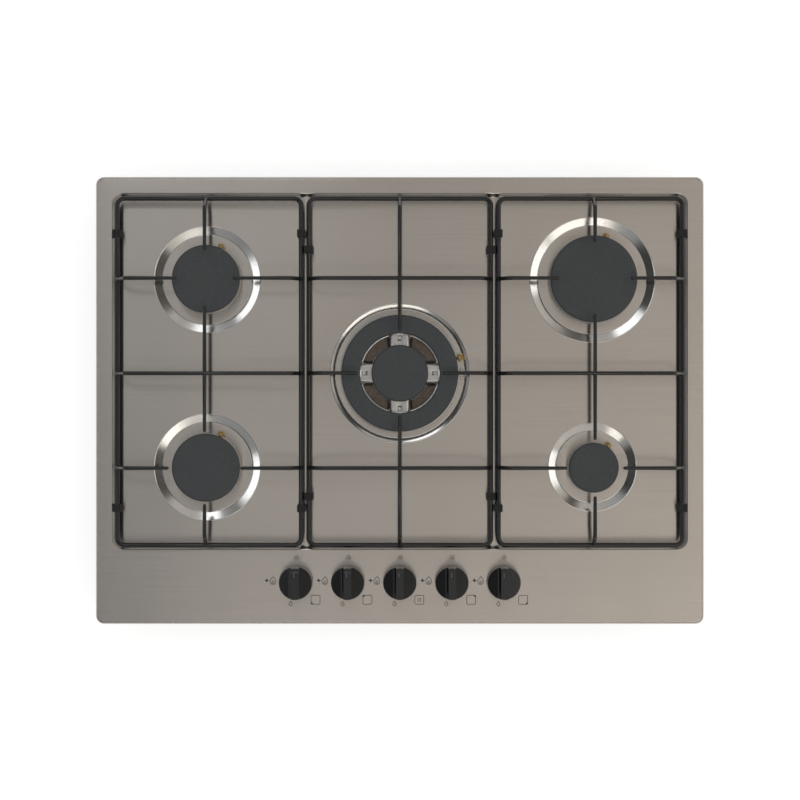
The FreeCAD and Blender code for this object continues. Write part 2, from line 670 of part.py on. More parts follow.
def make_injector(burner):
    """A hexagonal brass jet standing on the cup's centre boss."""
    seat = WORKTOP + FEED_LEVEL + FEED_BOSS_RADIUS
    corners = [burner.around(INJECTOR_RADIUS, 60 * i, seat) for i in range(6)]
    hexagon = Part.Face(Part.makePolygon(corners + corners[:1]))
    body = hexagon.extrude(UP * (INJECTOR_HEIGHT - INJECTOR_NOSE))
    body = body.fuse(cone(INJECTOR_SHANK, INJECTOR_NOSE_TIP, seat + INJECTOR_HEIGHT - INJECTOR_NOSE,
                          seat + INJECTOR_HEIGHT, burner.x, burner.y))
    shank_bottom = WORKTOP + FEED_LEVEL + GAS_DUCT_RADIUS + 2 * HOLE_CLEARANCE
    body = body.fuse(cylinder(INJECTOR_SHANK, shank_bottom, seat, burner.x, burner.y))
    bore = cylinder(JET_BORE, shank_bottom - 1, seat + INJECTOR_HEIGHT + 1, burner.x, burner.y)
    return one_solid(body.cut(bore))


def port_cutters(burner, wall):
    """Radial flame ports, open at the top, evenly spaced round a wall."""
    reach = CROWN_WALL + 1
    count = int(2 * math.pi * wall / PORT_SPACING)
    slot = box(wall - reach, wall + reach, -PORT_WIDTH / 2, PORT_WIDTH / 2,
               CAP_UNDERSIDE - PORT_HEIGHT, CAP_UNDERSIDE + 1)
    slots = []
    for i in range(count):
        one = slot.copy()
        one.rotate(FreeCAD.Vector(0, 0, 0), UP, 360.0 * i / count)
        one.translate(FreeCAD.Vector(burner.x, burner.y, 0))
        slots.append(one)
    return Part.makeCompound(slots)


def crown_core(burner, port_wall):
    """The floor, throat, locating ring and port wall that every crown has."""
    x, y = burner.x, burner.y
    bottom = burner.crown_bottom
    body = cylinder(port_wall, bottom, CAP_UNDERSIDE, x, y)
    body = body.cut(cylinder(port_wall - CROWN_WALL, bottom + CROWN_FLOOR,
                             CAP_UNDERSIDE + 1, x, y))
    guide = burner.collar - CUP_WALL - LOOSE
    body = body.fuse(ring(guide, guide - LOCATOR_WIDTH, bottom - CROWN_GUIDE_DROP, bottom, x, y))
    body = body.fuse(cylinder(THROAT_RADIUS, bottom - THROAT_DROP, bottom, x, y))
    return body.cut(cylinder(THROAT_BORE, bottom - THROAT_DROP - OVERCUT,
                             bottom + CROWN_FLOOR + OVERCUT, x, y))


def crown_notches(burner):
    """Notches that let the crown lift past its electrode and its flame sensor."""
    low = burner.crown_bottom - 1
    high = CAP_UNDERSIDE + 1
    spark = burner.spark_at()
    probe = burner.probe_at()
    return Part.makeCompound([
        cylinder(SPARK_RADIUS + SPARK_NOTCH, low, high, spark.x, spark.y),
        cylinder(PROBE_BUSH_RADIUS + LOOSE, low, high, probe.x, probe.y)])


def make_crown(burner):
    """A lift-off crown with its lip, ports and the notches beside it."""
    x, y = burner.x, burner.y
    bottom = burner.crown_bottom
    body = crown_core(burner, burner.port_wall)
    lip = burner.cap + CROWN_LIP
    body = body.fuse(ring(lip, burner.port_wall - 1, bottom, bottom + CROWN_LIP_THICKNESS, x, y))
    body = body.cut(port_cutters(burner, burner.port_wall))
    return one_solid(body.cut(crown_notches(burner)))


def make_wok_crown(burner):
    """The triple-ring crown: inner crown, four bridging arms and the outer ring."""
    x, y = burner.x, burner.y
    bottom = burner.crown_bottom
    arm_top = CAP_UNDERSIDE - ARM_DROP
    inner_lip = WOK_CENTRE_CAP + 2 * CROWN_LIP
    outer_wall = WOK_CAP - CROWN_PORT_INSET
    inner_wall = WOK_CAP_BORE + CROWN_PORT_INSET
    body = crown_core(burner, burner.port_wall)
    body = body.fuse(ring(inner_lip, burner.port_wall - 1, bottom,
                          bottom + CROWN_LIP_THICKNESS, x, y))
    outer = ring(outer_wall, inner_wall, bottom, CAP_UNDERSIDE, x, y)
    outer = outer.cut(ring(outer_wall - CROWN_WALL, inner_wall + CROWN_WALL,
                           bottom + CROWN_FLOOR, CAP_UNDERSIDE + 1, x, y))
    outer = outer.fuse(ring(WOK_CAP + CROWN_LIP, WOK_CAP_BORE - CROWN_LIP, bottom,
                            bottom + CROWN_LIP_THICKNESS, x, y))
    body = body.fuse(outer)
    body = body.cut(port_cutters(burner, outer_wall))
    body = body.cut(port_cutters(burner, burner.port_wall))
    arm = box(burner.port_wall - CROWN_WALL / 2, inner_wall + CROWN_WALL / 2, -ARM_WIDTH / 2,
              ARM_WIDTH / 2, arm_top - ARM_DEPTH, arm_top)
    slot_end = inner_wall - CROWN_WALL
    arm = arm.cut(box(slot_end - ARM_SLOT_LENGTH, slot_end, -ARM_SLOT_WIDTH / 2,
                      ARM_SLOT_WIDTH / 2, arm_top - ARM_SLOT_DEPTH, arm_top + OVERCUT))
    for i in range(4):
        one = arm.copy()
        one.rotate(FreeCAD.Vector(0, 0, 0), UP, 90.0 * i)
        one.translate(FreeCAD.Vector(x, y, 0))
        body = body.fuse(one)
    return one_solid(body.cut(crown_notches(burner)))


def disc_cap(radius, x, y, locator):
    """An enamelled cap: rounded top edge, and a ring below that sits inside the crown."""
    top = CAP_UNDERSIDE + CAP_THICKNESS
    body = fillet(cylinder(radius, CAP_UNDERSIDE, top, x, y), CAP_EDGE, lies_at(top))
    return one_solid(body.fuse(ring(locator, locator - LOCATOR_WIDTH,
                                    CAP_UNDERSIDE - LOCATOR_DEPTH, CAP_UNDERSIDE, x, y)))


def make_cap(burner):
    return disc_cap(WOK_CENTRE_CAP if burner.is_wok else burner.cap, burner.x, burner.y,
                    burner.port_wall - CROWN_WALL - LOOSE)


def make_wok_ring_cap(burner):
    x, y = burner.x, burner.y
    top = CAP_UNDERSIDE + CAP_THICKNESS
    body = fillet(ring(WOK_CAP, WOK_CAP_BORE, CAP_UNDERSIDE, top, x, y), CAP_EDGE, lies_at(top))
    locator = WOK_CAP - CROWN_PORT_INSET - CROWN_WALL - LOOSE
    return one_solid(body.fuse(ring(locator, locator - LOCATOR_WIDTH,
                                    CAP_UNDERSIDE - LOCATOR_DEPTH, CAP_UNDERSIDE, x, y)))


def make_probe(burner):
    """A flame sensor: bush in the cup's lug, tip above it, stem and lead to its tap."""
    place = burner.probe_at()
    flange_bottom = burner.underside - CUP_FLANGE
    tip = cylinder(PROBE_RADIUS, WORKTOP + STEM_BOTTOM, WORKTOP + PROBE_TOP, place.x, place.y)
    tip = fillet(tip, PROBE_RADIUS * 0.8, lies_at(WORKTOP + PROBE_TOP))
    bush = cylinder(PROBE_BUSH_RADIUS, flange_bottom - PROBE_BUSH_DROP,
                    burner.floor + PROBE_BUSH_RISE, place.x, place.y)
    tap_x = TAP_XS[BURNERS.index(burner)] + MAGNET_OFFSET
    level = WORKTOP + SENSOR_LEAD_LEVEL
    run_x, run_y = SENSOR_RUNS[burner.name]
    end_y = KNOB_ROW + MAGNET_REAR
    route = [FreeCAD.Vector(place.x, place.y, WORKTOP + STEM_BOTTOM),
             FreeCAD.Vector(place.x, place.y, level), FreeCAD.Vector(run_x, place.y, level),
             FreeCAD.Vector(run_x, run_y, level), FreeCAD.Vector(tap_x, run_y, level),
             FreeCAD.Vector(tap_x, end_y, level)]
    lead = bent_rod(route, SENSOR_LEAD_BEND, SENSOR_LEAD_RADIUS)
    return one_solid(tip.fuse(bush).fuse(lead))


def make_electrode(burner):
    """A ceramic spark electrode with its steel pin."""
    place = burner.spark_at()
    body = cylinder(SPARK_RADIUS, WORKTOP + STEM_BOTTOM, WORKTOP + SPARK_TOP, place.x, place.y)
    body = fillet(body, SPARK_EDGE, lies_at(WORKTOP + SPARK_TOP))
    pin = cylinder(SPARK_PIN_RADIUS, WORKTOP + SPARK_TOP - SPARK_PIN_ROOT,
                   CAP_UNDERSIDE - SPARK_PIN_GAP, place.x, place.y)
    return one_solid(body.fuse(pin))


# ------------------------------------------------------------------ gas train

# where each tube and sensor lead turns: the run towards the back, and the run across
FEED_RUNS = {"front_left": (-160.0, -BURNER_COLUMN), "rear_left": (-138.0, -150.0),
             "wok": None, "rear_right": (-138.0, 150.0), "front_right": (-160.0, BURNER_COLUMN)}
FEED_TURN_BEFORE_CUP = 40.0
SENSOR_RUNS = {"front_left": (-170.0, -152.0), "rear_left": (-130.0, -122.0),
               "wok": (92.0, -100.0), "rear_right": (130.0, -122.0),
               "front_right": (170.0, -152.0)}


def make_gas_rail():
    """The rail under the knobs, led round the right side to the inlet at the back."""
    low = WORKTOP + RAIL_LEVEL
    high = WORKTOP + INLET_LEVEL
    route = [FreeCAD.Vector(TAP_XS[0] - RAIL_END, RAIL_Y, low),
             FreeCAD.Vector(INLET_X, RAIL_Y, low), FreeCAD.Vector(INLET_X, FRONT_ROW, low),
             FreeCAD.Vector(INLET_X, WOK_ROW, high),
             FreeCAD.Vector(INLET_X, INLET_Y - ELBOW_RADIUS, high)]
    outside = bent_rod(route, RAIL_BEND, RAIL_RADIUS)
    route[0] = route[0] + RIGHT * RAIL_END_WALL
    rail = outside.cut(bent_rod(route, RAIL_BEND, RAIL_BORE))
    for x in TAP_XS:
        centre = FreeCAD.Vector(x, RAIL_Y, low)
        rail = rail.cut(rod(PLUG_DUCT_RADIUS, centre, centre + BACK * (RAIL_RADIUS + 1)))
    return one_solid(rail)


def make_inlet_elbow():
    """A brass elbow: socket for the rail, and a threaded end down through the pocket."""
    centre = FreeCAD.Vector(INLET_X, INLET_Y, WORKTOP + INLET_LEVEL)
    neck_bottom = POCKET_RISE - INLET_NECK_DROP
    body = Part.makeSphere(ELBOW_RADIUS, centre)
    body = body.fuse(rod(ELBOW_RADIUS, centre, centre - BACK * (ELBOW_RADIUS
                                                                + ELBOW_SOCKET_DEPTH)))
    body = body.fuse(cylinder(INLET_NECK_RADIUS, neck_bottom, centre.z, INLET_X, INLET_Y))
    thread_bottom = neck_bottom - THREAD_LENGTH
    body = body.fuse(cylinder(THREAD_RADIUS, thread_bottom, neck_bottom, INLET_X, INLET_Y))
    body = body.cut(cylinder(THREAD_BORE, thread_bottom - 1, centre.z, INLET_X, INLET_Y))
    mouth = centre - BACK * (ELBOW_RADIUS + ELBOW_SOCKET_DEPTH + 1)
    body = body.cut(rod(RAIL_RADIUS + FIT, mouth, centre - BACK * (ELBOW_RADIUS - FIT)))
    return one_solid(body.cut(rod(RAIL_BORE, mouth, centre)))


def make_tap_body(x):
    """A tap: tapered seat, bonnet, saddle on the rail, outlet boss and sensor magnet."""
    low = WORKTOP + TAP_BOTTOM
    top = WORKTOP + TAP_TOP
    level = WORKTOP + RAIL_LEVEL
    body = cylinder(TAP_RADIUS, low, top, x, KNOB_ROW)
    body = body.fuse(box(x - SADDLE_WIDTH / 2, x + SADDLE_WIDTH / 2, RAIL_Y, KNOB_ROW,
                         level - SADDLE_HEIGHT / 2, level + SADDLE_HEIGHT / 2))
    outlet = FreeCAD.Vector(x, KNOB_ROW, level)
    outlet_mouth = outlet + BACK * (TAP_RADIUS + TAP_OUTLET_REACH)
    body = body.fuse(rod(TAP_OUTLET_RADIUS, outlet, outlet_mouth))
    magnet = FreeCAD.Vector(x + MAGNET_OFFSET, KNOB_ROW, WORKTOP + MAGNET_LEVEL)
    body = body.fuse(rod(MAGNET_RADIUS, magnet - BACK * MAGNET_FRONT,
                         magnet + BACK * MAGNET_REAR))
    seat_top = WORKTOP + PLUG_TOP
    seat_bottom = WORKTOP + PLUG_BOTTOM
    body = body.cut(cone(PLUG_BOTTOM_RADIUS + FIT, PLUG_TOP_RADIUS + FIT, seat_bottom,
                         seat_top, x, KNOB_ROW))
    body = body.cut(cylinder(PLUG_TOP_RADIUS + LOOSE, seat_top, top + 1, x, KNOB_ROW))
    bonnet = ring(TAP_RADIUS, SPINDLE_RADIUS + FIT, top, top + BONNET_HEIGHT, x, KNOB_ROW)
    body = body.fuse(bonnet)
    centre = FreeCAD.Vector(x, RAIL_Y, level)
    body = body.cut(rod(RAIL_RADIUS + FIT, centre - RIGHT * 20, centre + RIGHT * 20))
    body = body.cut(rod(PLUG_DUCT_RADIUS, centre, outlet_mouth))
    body = body.cut(rod(FEED_TUBE_RADIUS + FIT, outlet_mouth - BACK * TAP_SOCKET_DEPTH,
                        outlet_mouth))
    for offset in (-STRAP_SCREW_OFFSET, STRAP_SCREW_OFFSET):
        hole = centre + UP * offset
        body = body.cut(rod(SCREW_RADIUS + FIT, hole, hole + BACK * SCREW_LENGTH))
    return one_solid(body)


def make_rail_strap(x):
    """The strap that clamps a tap's saddle to the rail."""
    level = WORKTOP + RAIL_LEVEL
    centre = FreeCAD.Vector(x, RAIL_Y, level)
    half = SADDLE_WIDTH / 2
    outer = rod(RAIL_RADIUS + FIT + STRAP_THICKNESS, centre - RIGHT * half, centre + RIGHT * half)
    body = outer.fuse(box(x - half, x + half, RAIL_Y - STRAP_THICKNESS, RAIL_Y,
                          level - SADDLE_HEIGHT / 2, level + SADDLE_HEIGHT / 2))
    body = body.cut(rod(RAIL_RADIUS + FIT, centre - RIGHT * 20, centre + RIGHT * 20))
    body = body.cut(box(x - 20, x + 20, RAIL_Y, RAIL_Y + 20, level - 20, level + 20))
    for offset in (-STRAP_SCREW_OFFSET, STRAP_SCREW_OFFSET):
        hole = centre + UP * offset
        body = body.cut(rod(SCREW_RADIUS + FIT, hole - BACK * 5, hole + BACK))
    return one_solid(body)


def make_tap_plug(x):
    """The tapered plug: spring pocket, slot for the spindle's tongue and gas duct."""
    top = WORKTOP + PLUG_TOP
    bottom = WORKTOP + PLUG_BOTTOM
    pocket = top - PLUG_POCKET_DEPTH
    body = cone(PLUG_BOTTOM_RADIUS, PLUG_TOP_RADIUS, bottom, top, x, KNOB_ROW)
    body = body.cut(cylinder(PLUG_POCKET_RADIUS, pocket, top + 1, x, KNOB_ROW))
    half_width = TONGUE_WIDTH / 2 + FIT
    half_thick = TONGUE_THICKNESS / 2 + FIT
    body = body.cut(box(x - half_width, x + half_width, KNOB_ROW - half_thick,
                        KNOB_ROW + half_thick, pocket - TONGUE_SLOT_DEPTH, pocket + 1))
    centre = FreeCAD.Vector(x, KNOB_ROW, WORKTOP + RAIL_LEVEL)
    body = body.cut(rod(PLUG_DUCT_RADIUS, centre - RIGHT * TAP_RADIUS, centre + RIGHT * TAP_RADIUS))
    return one_solid(body)


def collar_top():
    return WORKTOP + TAP_TOP - FIT


def make_spindle(x):
    """The spindle: tongue in the plug, collar under the bonnet, D end in the knob."""
    pocket = WORKTOP + PLUG_TOP - PLUG_POCKET_DEPTH
    stem_bottom = pocket + KNOB_TRAVEL + LOOSE
    body = cylinder(SPINDLE_RADIUS, stem_bottom, KNOB_BOTTOM + SPINDLE_IN_KNOB, x, KNOB_ROW)
    body = body.fuse(cylinder(SPINDLE_COLLAR_RADIUS, collar_top() - SPINDLE_COLLAR_HEIGHT,
                              collar_top(), x, KNOB_ROW))
    body = body.fuse(box(x - TONGUE_WIDTH / 2, x + TONGUE_WIDTH / 2,
                         KNOB_ROW - TONGUE_THICKNESS / 2, KNOB_ROW + TONGUE_THICKNESS / 2,
                         pocket - TONGUE_DROP, stem_bottom + 1))
    flat = box(x - 10, x + 10, KNOB_ROW + SPINDLE_FLAT, KNOB_ROW + 10, KNOB_BOTTOM + 2,
               KNOB_BOTTOM + SPINDLE_IN_KNOB + 1)
    return one_solid(body.cut(flat))


def make_return_spring(x):
    """The coil between the plug's pocket and the spindle's collar."""
    bottom = WORKTOP + PLUG_TOP - PLUG_POCKET_DEPTH + SPRING_WIRE + SPRING_GAP
    top = collar_top() - SPINDLE_COLLAR_HEIGHT - SPRING_WIRE - SPRING_GAP
    pitch = (top - bottom) / SPRING_TURNS
    helix = Part.makeHelix(pitch, top - bottom, SPRING_RADIUS)
    start = FreeCAD.Vector(SPRING_RADIUS, 0, 0)
    rise = FreeCAD.Vector(0, SPRING_RADIUS * 2 * math.pi, pitch)
    section = Part.Wire(Part.makeCircle(SPRING_WIRE, start, rise))
    coil = Part.Wire(helix).makePipeShell([section], True, True)
    coil.translate(FreeCAD.Vector(x, KNOB_ROW, bottom))
    return coil


def make_knob(x):
    """A knob: tapered body, a grip bar between two scoops, hollow below, hub with a D bore."""
    bottom = KNOB_BOTTOM
    top = bottom + KNOB_HEIGHT
    body = cone(KNOB_BASE_RADIUS, KNOB_TOP_RADIUS, bottom, top, x, KNOB_ROW)
    for side in (-1, 1):
        axis = FreeCAD.Vector(x + side * (GRIP_HALF_WIDTH + SCOOP_RADIUS), KNOB_ROW - 30,
                              top + SCOOP_RAISE)
        body = body.cut(Part.makeCylinder(SCOOP_RADIUS, 60, axis, BACK))
    body = fillet(body, GRIP_EDGE, lies_at(top))
    hollow = KNOB_BASE_RADIUS - KNOB_WALL
    body = body.cut(ring(hollow, KNOB_HUB_RADIUS, bottom - 1, bottom + KNOB_HOLLOW, x, KNOB_ROW))
    hub_bottom = bottom + KNOB_SEAL_HEIGHT
    body = body.cut(cylinder(KNOB_SEAL_SPACE, bottom - OVERCUT, hub_bottom, x, KNOB_ROW))
    bore = cylinder(SPINDLE_RADIUS + FIT, bottom - 1, bottom + SPINDLE_IN_KNOB + FIT, x, KNOB_ROW)
    flat = box(x - 10, x + 10, KNOB_ROW + SPINDLE_FLAT + FIT, KNOB_ROW + 10, hub_bottom,
               bottom + SPINDLE_IN_KNOB + 1)
    return one_solid(body.cut(bore.cut(flat)))


def make_knob_seal(x):
    """The rubber seal round a spindle: flange on the panel, neck, and lip below."""
    underside = RIM - SHEET
    body = cylinder(KNOB_SEAL_RADIUS, RIM, RIM + KNOB_SEAL_HEIGHT, x, KNOB_ROW)
    body = fillet(body, KNOB_SEAL_EDGE, lies_at(RIM + KNOB_SEAL_HEIGHT))
    body = body.fuse(cylinder(KNOB_HOLE_RADIUS - FIT, underside, RIM, x, KNOB_ROW))
    body = body.fuse(cylinder(KNOB_SEAL_LIP_RADIUS, underside - KNOB_SEAL_LIP, underside,
                              x, KNOB_ROW))
    return one_solid(body.cut(cylinder(SPINDLE_RADIUS + LOOSE, underside - 5, RIM + 10,
                                       x, KNOB_ROW)))


def make_switch(x):
    """The ignition switch that sits on a tap's bonnet, round the spindle."""
    bottom = WORKTOP + TAP_TOP + BONNET_HEIGHT
    body = rounded_box(x - SWITCH_WIDTH / 2, x + SWITCH_WIDTH / 2, KNOB_ROW - SWITCH_LENGTH / 2,
                       KNOB_ROW + SWITCH_LENGTH / 2, bottom, bottom + SWITCH_HEIGHT,
                       SWITCH_CORNER)
    return body.cut(cylinder(SPINDLE_RADIUS + HOLE_CLEARANCE, bottom - 1,
                             bottom + SWITCH_HEIGHT + 1, x, KNOB_ROW))


def make_feed_tube(burner, tap_x):
    """The aluminium tube from a tap's outlet to its burner's feed boss."""
    low = WORKTOP + RAIL_LEVEL
    high = WORKTOP + FEED_LEVEL
    start_y = KNOB_ROW + TAP_RADIUS + TAP_OUTLET_REACH - TAP_SOCKET_DEPTH
    mouth_y = burner.y - burner.collar - FEED_BOSS_REACH
    end_y = mouth_y + FEED_SOCKET_DEPTH - FIT
    start = FreeCAD.Vector(tap_x, start_y + FIT, low)
    end = FreeCAD.Vector(burner.x, end_y, high)
    turn_y = mouth_y - FEED_TURN_BEFORE_CUP
    if burner.is_wok:
        points = [start, FreeCAD.Vector(tap_x, start_y + WOK_FEED_LEVEL_RUN, low),
                  FreeCAD.Vector(burner.x, mouth_y - WOK_FEED_END_RUN, high), end]
    else:
        across_y, column = FEED_RUNS[burner.name]
        points = [start, FreeCAD.Vector(tap_x, across_y, low),
                  FreeCAD.Vector(column, across_y, low)]
        if column != burner.x:
            points.append(FreeCAD.Vector(column, turn_y - FEED_SIDESTEP, low))
            points.append(FreeCAD.Vector(burner.x, turn_y, high))
        else:
            points[-1] = FreeCAD.Vector(column, across_y, high)
        points.append(end)
    return bent_tube(points, FEED_TUBE_BEND, FEED_TUBE_RADIUS, FEED_TUBE_BORE)


# ------------------------------------------------------------------ ignition and mains


def make_spark_generator():
    body = rounded_box(-GENERATOR_WIDTH / 2, GENERATOR_WIDTH / 2,
                       GENERATOR_Y - GENERATOR_LENGTH / 2, GENERATOR_Y + GENERATOR_LENGTH / 2,
                       TRAY_FLOOR, TRAY_FLOOR + GENERATOR_HEIGHT, GENERATOR_CORNER)
    face = GENERATOR_Y - GENERATOR_LENGTH / 2
    level = TRAY_FLOOR + SOCKET_RADIUS
    for i in range(len(BURNERS)):
        mouth = FreeCAD.Vector(socket_x(i), face, level)
        body = body.fuse(rod(SOCKET_RADIUS, mouth, mouth - BACK * SOCKET_REACH))
        body = body.cut(rod(SPARK_LEAD_RADIUS + FIT, mouth - BACK * SOCKET_REACH, mouth + BACK))
    return one_solid(body)


def socket_x(order):
    return (order - (len(BURNERS) - 1) / 2) * GENERATOR_PITCH


# sockets from left to right, so that the leads never cross on the tray's floor
SOCKET_ORDER = ["rear_left", "front_left", "front_right", "wok", "rear_right"]


def make_spark_lead(burner):
    """The lead from an electrode down to the tray's floor and along it to its socket."""
    place = burner.spark_at()
    x = socket_x(SOCKET_ORDER.index(burner.name))
    level = TRAY_FLOOR + SOCKET_RADIUS
    end_y = GENERATOR_Y - GENERATOR_LENGTH / 2
    route = [FreeCAD.Vector(place.x, place.y, WORKTOP + STEM_BOTTOM),
             FreeCAD.Vector(place.x, place.y, level), FreeCAD.Vector(x, place.y, level),
             FreeCAD.Vector(x, end_y, level)]
    return bent_rod(route, SPARK_LEAD_BEND, SPARK_LEAD_RADIUS)


def make_switch_leads():
    """The wire that joins the switches, and the lead from it to the generator."""
    level = WORKTOP + TAP_TOP + BONNET_HEIGHT + SWITCH_HEIGHT / 2
    y = KNOB_ROW + SWITCH_LENGTH / 2 + SWITCH_LEAD_RADIUS
    wire = rod(SWITCH_LEAD_RADIUS, FreeCAD.Vector(TAP_XS[0], y, level),
               FreeCAD.Vector(TAP_XS[-1], y, level))
    floor = TRAY_FLOOR + SWITCH_LEAD_RADIUS
    between = (socket_x(1) + socket_x(2)) / 2
    drop_x = (TAP_XS[1] + TAP_XS[2]) / 2
    drop_y = y + SWITCH_LEAD_REACH
    shift_start, shift_end = [FRONT_ROW - distance for distance in SWITCH_LEAD_SHIFT]
    route = [FreeCAD.Vector(drop_x, y, level), FreeCAD.Vector(drop_x, drop_y, level),
             FreeCAD.Vector(drop_x, drop_y, floor), FreeCAD.Vector(drop_x, shift_start, floor),
             FreeCAD.Vector(between, shift_end, floor),
             FreeCAD.Vector(between, GENERATOR_Y - GENERATOR_LENGTH / 2, floor)]
    return one_solid(wire.fuse(bent_rod(route, SPARK_LEAD_BEND, SWITCH_LEAD_RADIUS)))


def make_terminal_block():
    return rounded_box(TERMINAL_X - TERMINAL_WIDTH / 2, TERMINAL_X + TERMINAL_WIDTH / 2,
                       GENERATOR_Y - TERMINAL_LENGTH / 2, GENERATOR_Y + TERMINAL_LENGTH / 2,
                       TRAY_FLOOR, TRAY_FLOOR + TERMINAL_HEIGHT, TERMINAL_CORNER)


def make_mains_wires():
    """Three short wires from the terminal block to the generator."""
    start_x = TERMINAL_X + TERMINAL_WIDTH / 2
    level = TRAY_FLOOR + TERMINAL_HEIGHT / 2
    return [rod(MAINS_WIRE_RADIUS, FreeCAD.Vector(start_x, GENERATOR_Y + offset, level),
                FreeCAD.Vector(-GENERATOR_WIDTH / 2, GENERATOR_Y + offset, level))
            for offset in (-MAINS_WIRE_PITCH, 0.0, MAINS_WIRE_PITCH)]


def make_cable_gland():
    """The bushing in the rear wall where a supply cord would enter."""
    wall = FreeCAD.Vector(GLAND_X, TRAY_LENGTH / 2, WORKTOP + GLAND_LEVEL)
    inside = wall - BACK * (TRAY_SHEET + GLAND_INSIDE)
    outside = wall + BACK * GLAND_FLANGE
    body = rod(GLAND_RADIUS, inside, wall).fuse(rod(GLAND_FLANGE_RADIUS, wall, outside))
    nut = rod(GLAND_FLANGE_RADIUS, wall - BACK * (TRAY_SHEET + GLAND_NUT),
              wall - BACK * TRAY_SHEET)
    return one_solid(body.fuse(nut).cut(rod(GLAND_BORE, inside - BACK, outside + BACK)))


# ------------------------------------------------------------------ pan supports


def frame_loop(x0, x1):
    """The closed wire frame of a pan support, with rounded corners."""
    level = WELL + FRAME_LEVEL
    corners = [(x1, SUPPORT_BACK), (x1, SUPPORT_FRONT), (x0, SUPPORT_FRONT), (x0, SUPPORT_BACK)]
    points = [FreeCAD.Vector(x, y, level) for x, y in corners]
    start = FreeCAD.Vector(x0 + FRAME_CORNER * 2, SUPPORT_BACK, level)
    path = bent_path([start] + points + [start], FRAME_CORNER)
    section = Part.Wire(Part.makeCircle(FRAME_WIRE, start, RIGHT))
    return path.makePipeShell([section], True, False)


def finger(frame_point, tip_direction, length):
    """A finger: it rises from the frame wire, bends and runs level to its blunt tip."""
    base = frame_point
    level = base + UP * (FINGER_LEVEL - FRAME_LEVEL)
    shoulder = level + tip_direction * FINGER_RISE_RUN
    tip = level + tip_direction * length
    return bent_rod([base, shoulder, tip], FINGER_BEND, FINGER_WIRE)


def bar(start_frame, end_frame):
    """A bar across a support: it rises from one frame wire, runs level and drops to the other."""
    along = (end_frame - start_frame).normalize()
    lift = UP * (FINGER_LEVEL - FRAME_LEVEL)
    points = [start_frame, start_frame + lift + along * FINGER_RISE_RUN,
              end_frame + lift - along * FINGER_RISE_RUN, end_frame]
    return bent_rod(points, FINGER_BEND, FINGER_WIRE)


def fused(solids):
    return one_solid(solids[0].multiFuse(solids[1:]))


def make_side_support(side):
    """The left (-1) or right (+1) support: two burner openings and a bar between them."""
    inner = side * SIDE_SUPPORT_INNER
    outer = side * SIDE_SUPPORT_OUTER
    x0, x1 = min(inner, outer), max(inner, outer)
    level = WELL + FRAME_LEVEL
    openings = {REAR_ROW: SMALL_OPENING, FRONT_ROW: LARGE_OPENING}
    if side > 0:
        openings = {REAR_ROW: LARGE_OPENING, FRONT_ROW: SMALL_OPENING}
    column = side * BURNER_COLUMN
    pieces = [frame_loop(x0, x1)]
    for row, opening in openings.items():
        left = FreeCAD.Vector(x0, row, level)
        right = FreeCAD.Vector(x1, row, level)
        pieces.append(finger(left, RIGHT, column - opening - x0))
        pieces.append(finger(right, RIGHT * -1, x1 - column - opening))
    pieces.append(bar(FreeCAD.Vector(x0, MID_BAR, level), FreeCAD.Vector(x1, MID_BAR, level)))
    rear = FreeCAD.Vector(column, SUPPORT_BACK, level)
    front = FreeCAD.Vector(column, SUPPORT_FRONT, level)
    pieces.append(finger(rear, BACK * -1, SUPPORT_BACK - REAR_ROW - openings[REAR_ROW]))
    pieces.append(finger(front, BACK, FRONT_ROW - openings[FRONT_ROW] - SUPPORT_FRONT))
    top = WELL + FINGER_LEVEL
    pieces.append(rod(FINGER_WIRE, FreeCAD.Vector(column, FRONT_ROW + openings[FRONT_ROW], top),
                      FreeCAD.Vector(column, REAR_ROW - openings[REAR_ROW], top)))
    return fused(pieces)


def make_centre_support():
    """The middle support: two full bars and four fingers round the triple-ring burner."""
    x0, x1 = -CENTRE_SUPPORT_HALF, CENTRE_SUPPORT_HALF
    level = WELL + FRAME_LEVEL
    pieces = [frame_loop(x0, x1)]
    for row in (REAR_ROW, FRONT_ROW):
        pieces.append(bar(FreeCAD.Vector(x0, row, level), FreeCAD.Vector(x1, row, level)))
    pieces.append(finger(FreeCAD.Vector(x0, WOK_ROW, level), RIGHT, -WOK_OPENING - x0))
    pieces.append(finger(FreeCAD.Vector(x1, WOK_ROW, level), RIGHT * -1, x1 - WOK_OPENING))
    rear = FreeCAD.Vector(0, SUPPORT_BACK, level)
    front = FreeCAD.Vector(0, SUPPORT_FRONT, level)
    pieces.append(finger(rear, BACK * -1, SUPPORT_BACK - WOK_ROW - WOK_OPENING))
    pieces.append(finger(front, BACK, WOK_ROW - WOK_OPENING - SUPPORT_FRONT))
    return fused(pieces)


def make_foot(x, y):
    """A rubber block clipped round a frame wire, standing on the well floor."""
    level = WELL + FRAME_LEVEL
    body = box(x - FOOT_WIDTH / 2, x + FOOT_WIDTH / 2, y - FOOT_LENGTH / 2, y + FOOT_LENGTH / 2,
               WELL, level + FOOT_ABOVE_WIRE)
    body = fillet(body, FOOT_TOP_EDGE, lies_at(level + FOOT_ABOVE_WIRE))
    body = fillet(body, FOOT_FLOOR_EDGE, lambda edge: lies_at(WELL)(edge)
                  and edge.BoundBox.YLength > edge.BoundBox.XLength)
    wire = FreeCAD.Vector(x, y, level)
    return body.cut(rod(FRAME_WIRE + FIT, wire - BACK * 10, wire + BACK * 10))


def make_feet(columns, rows):
    return [make_foot(x, y) for x in columns for y in rows]


# ------------------------------------------------------------------ build


def burner_screws():
    return [screw(burner.around(burner.screw_radius, angle, burner.floor), UP)
            for burner in BURNERS for angle in burner.screw_angles]


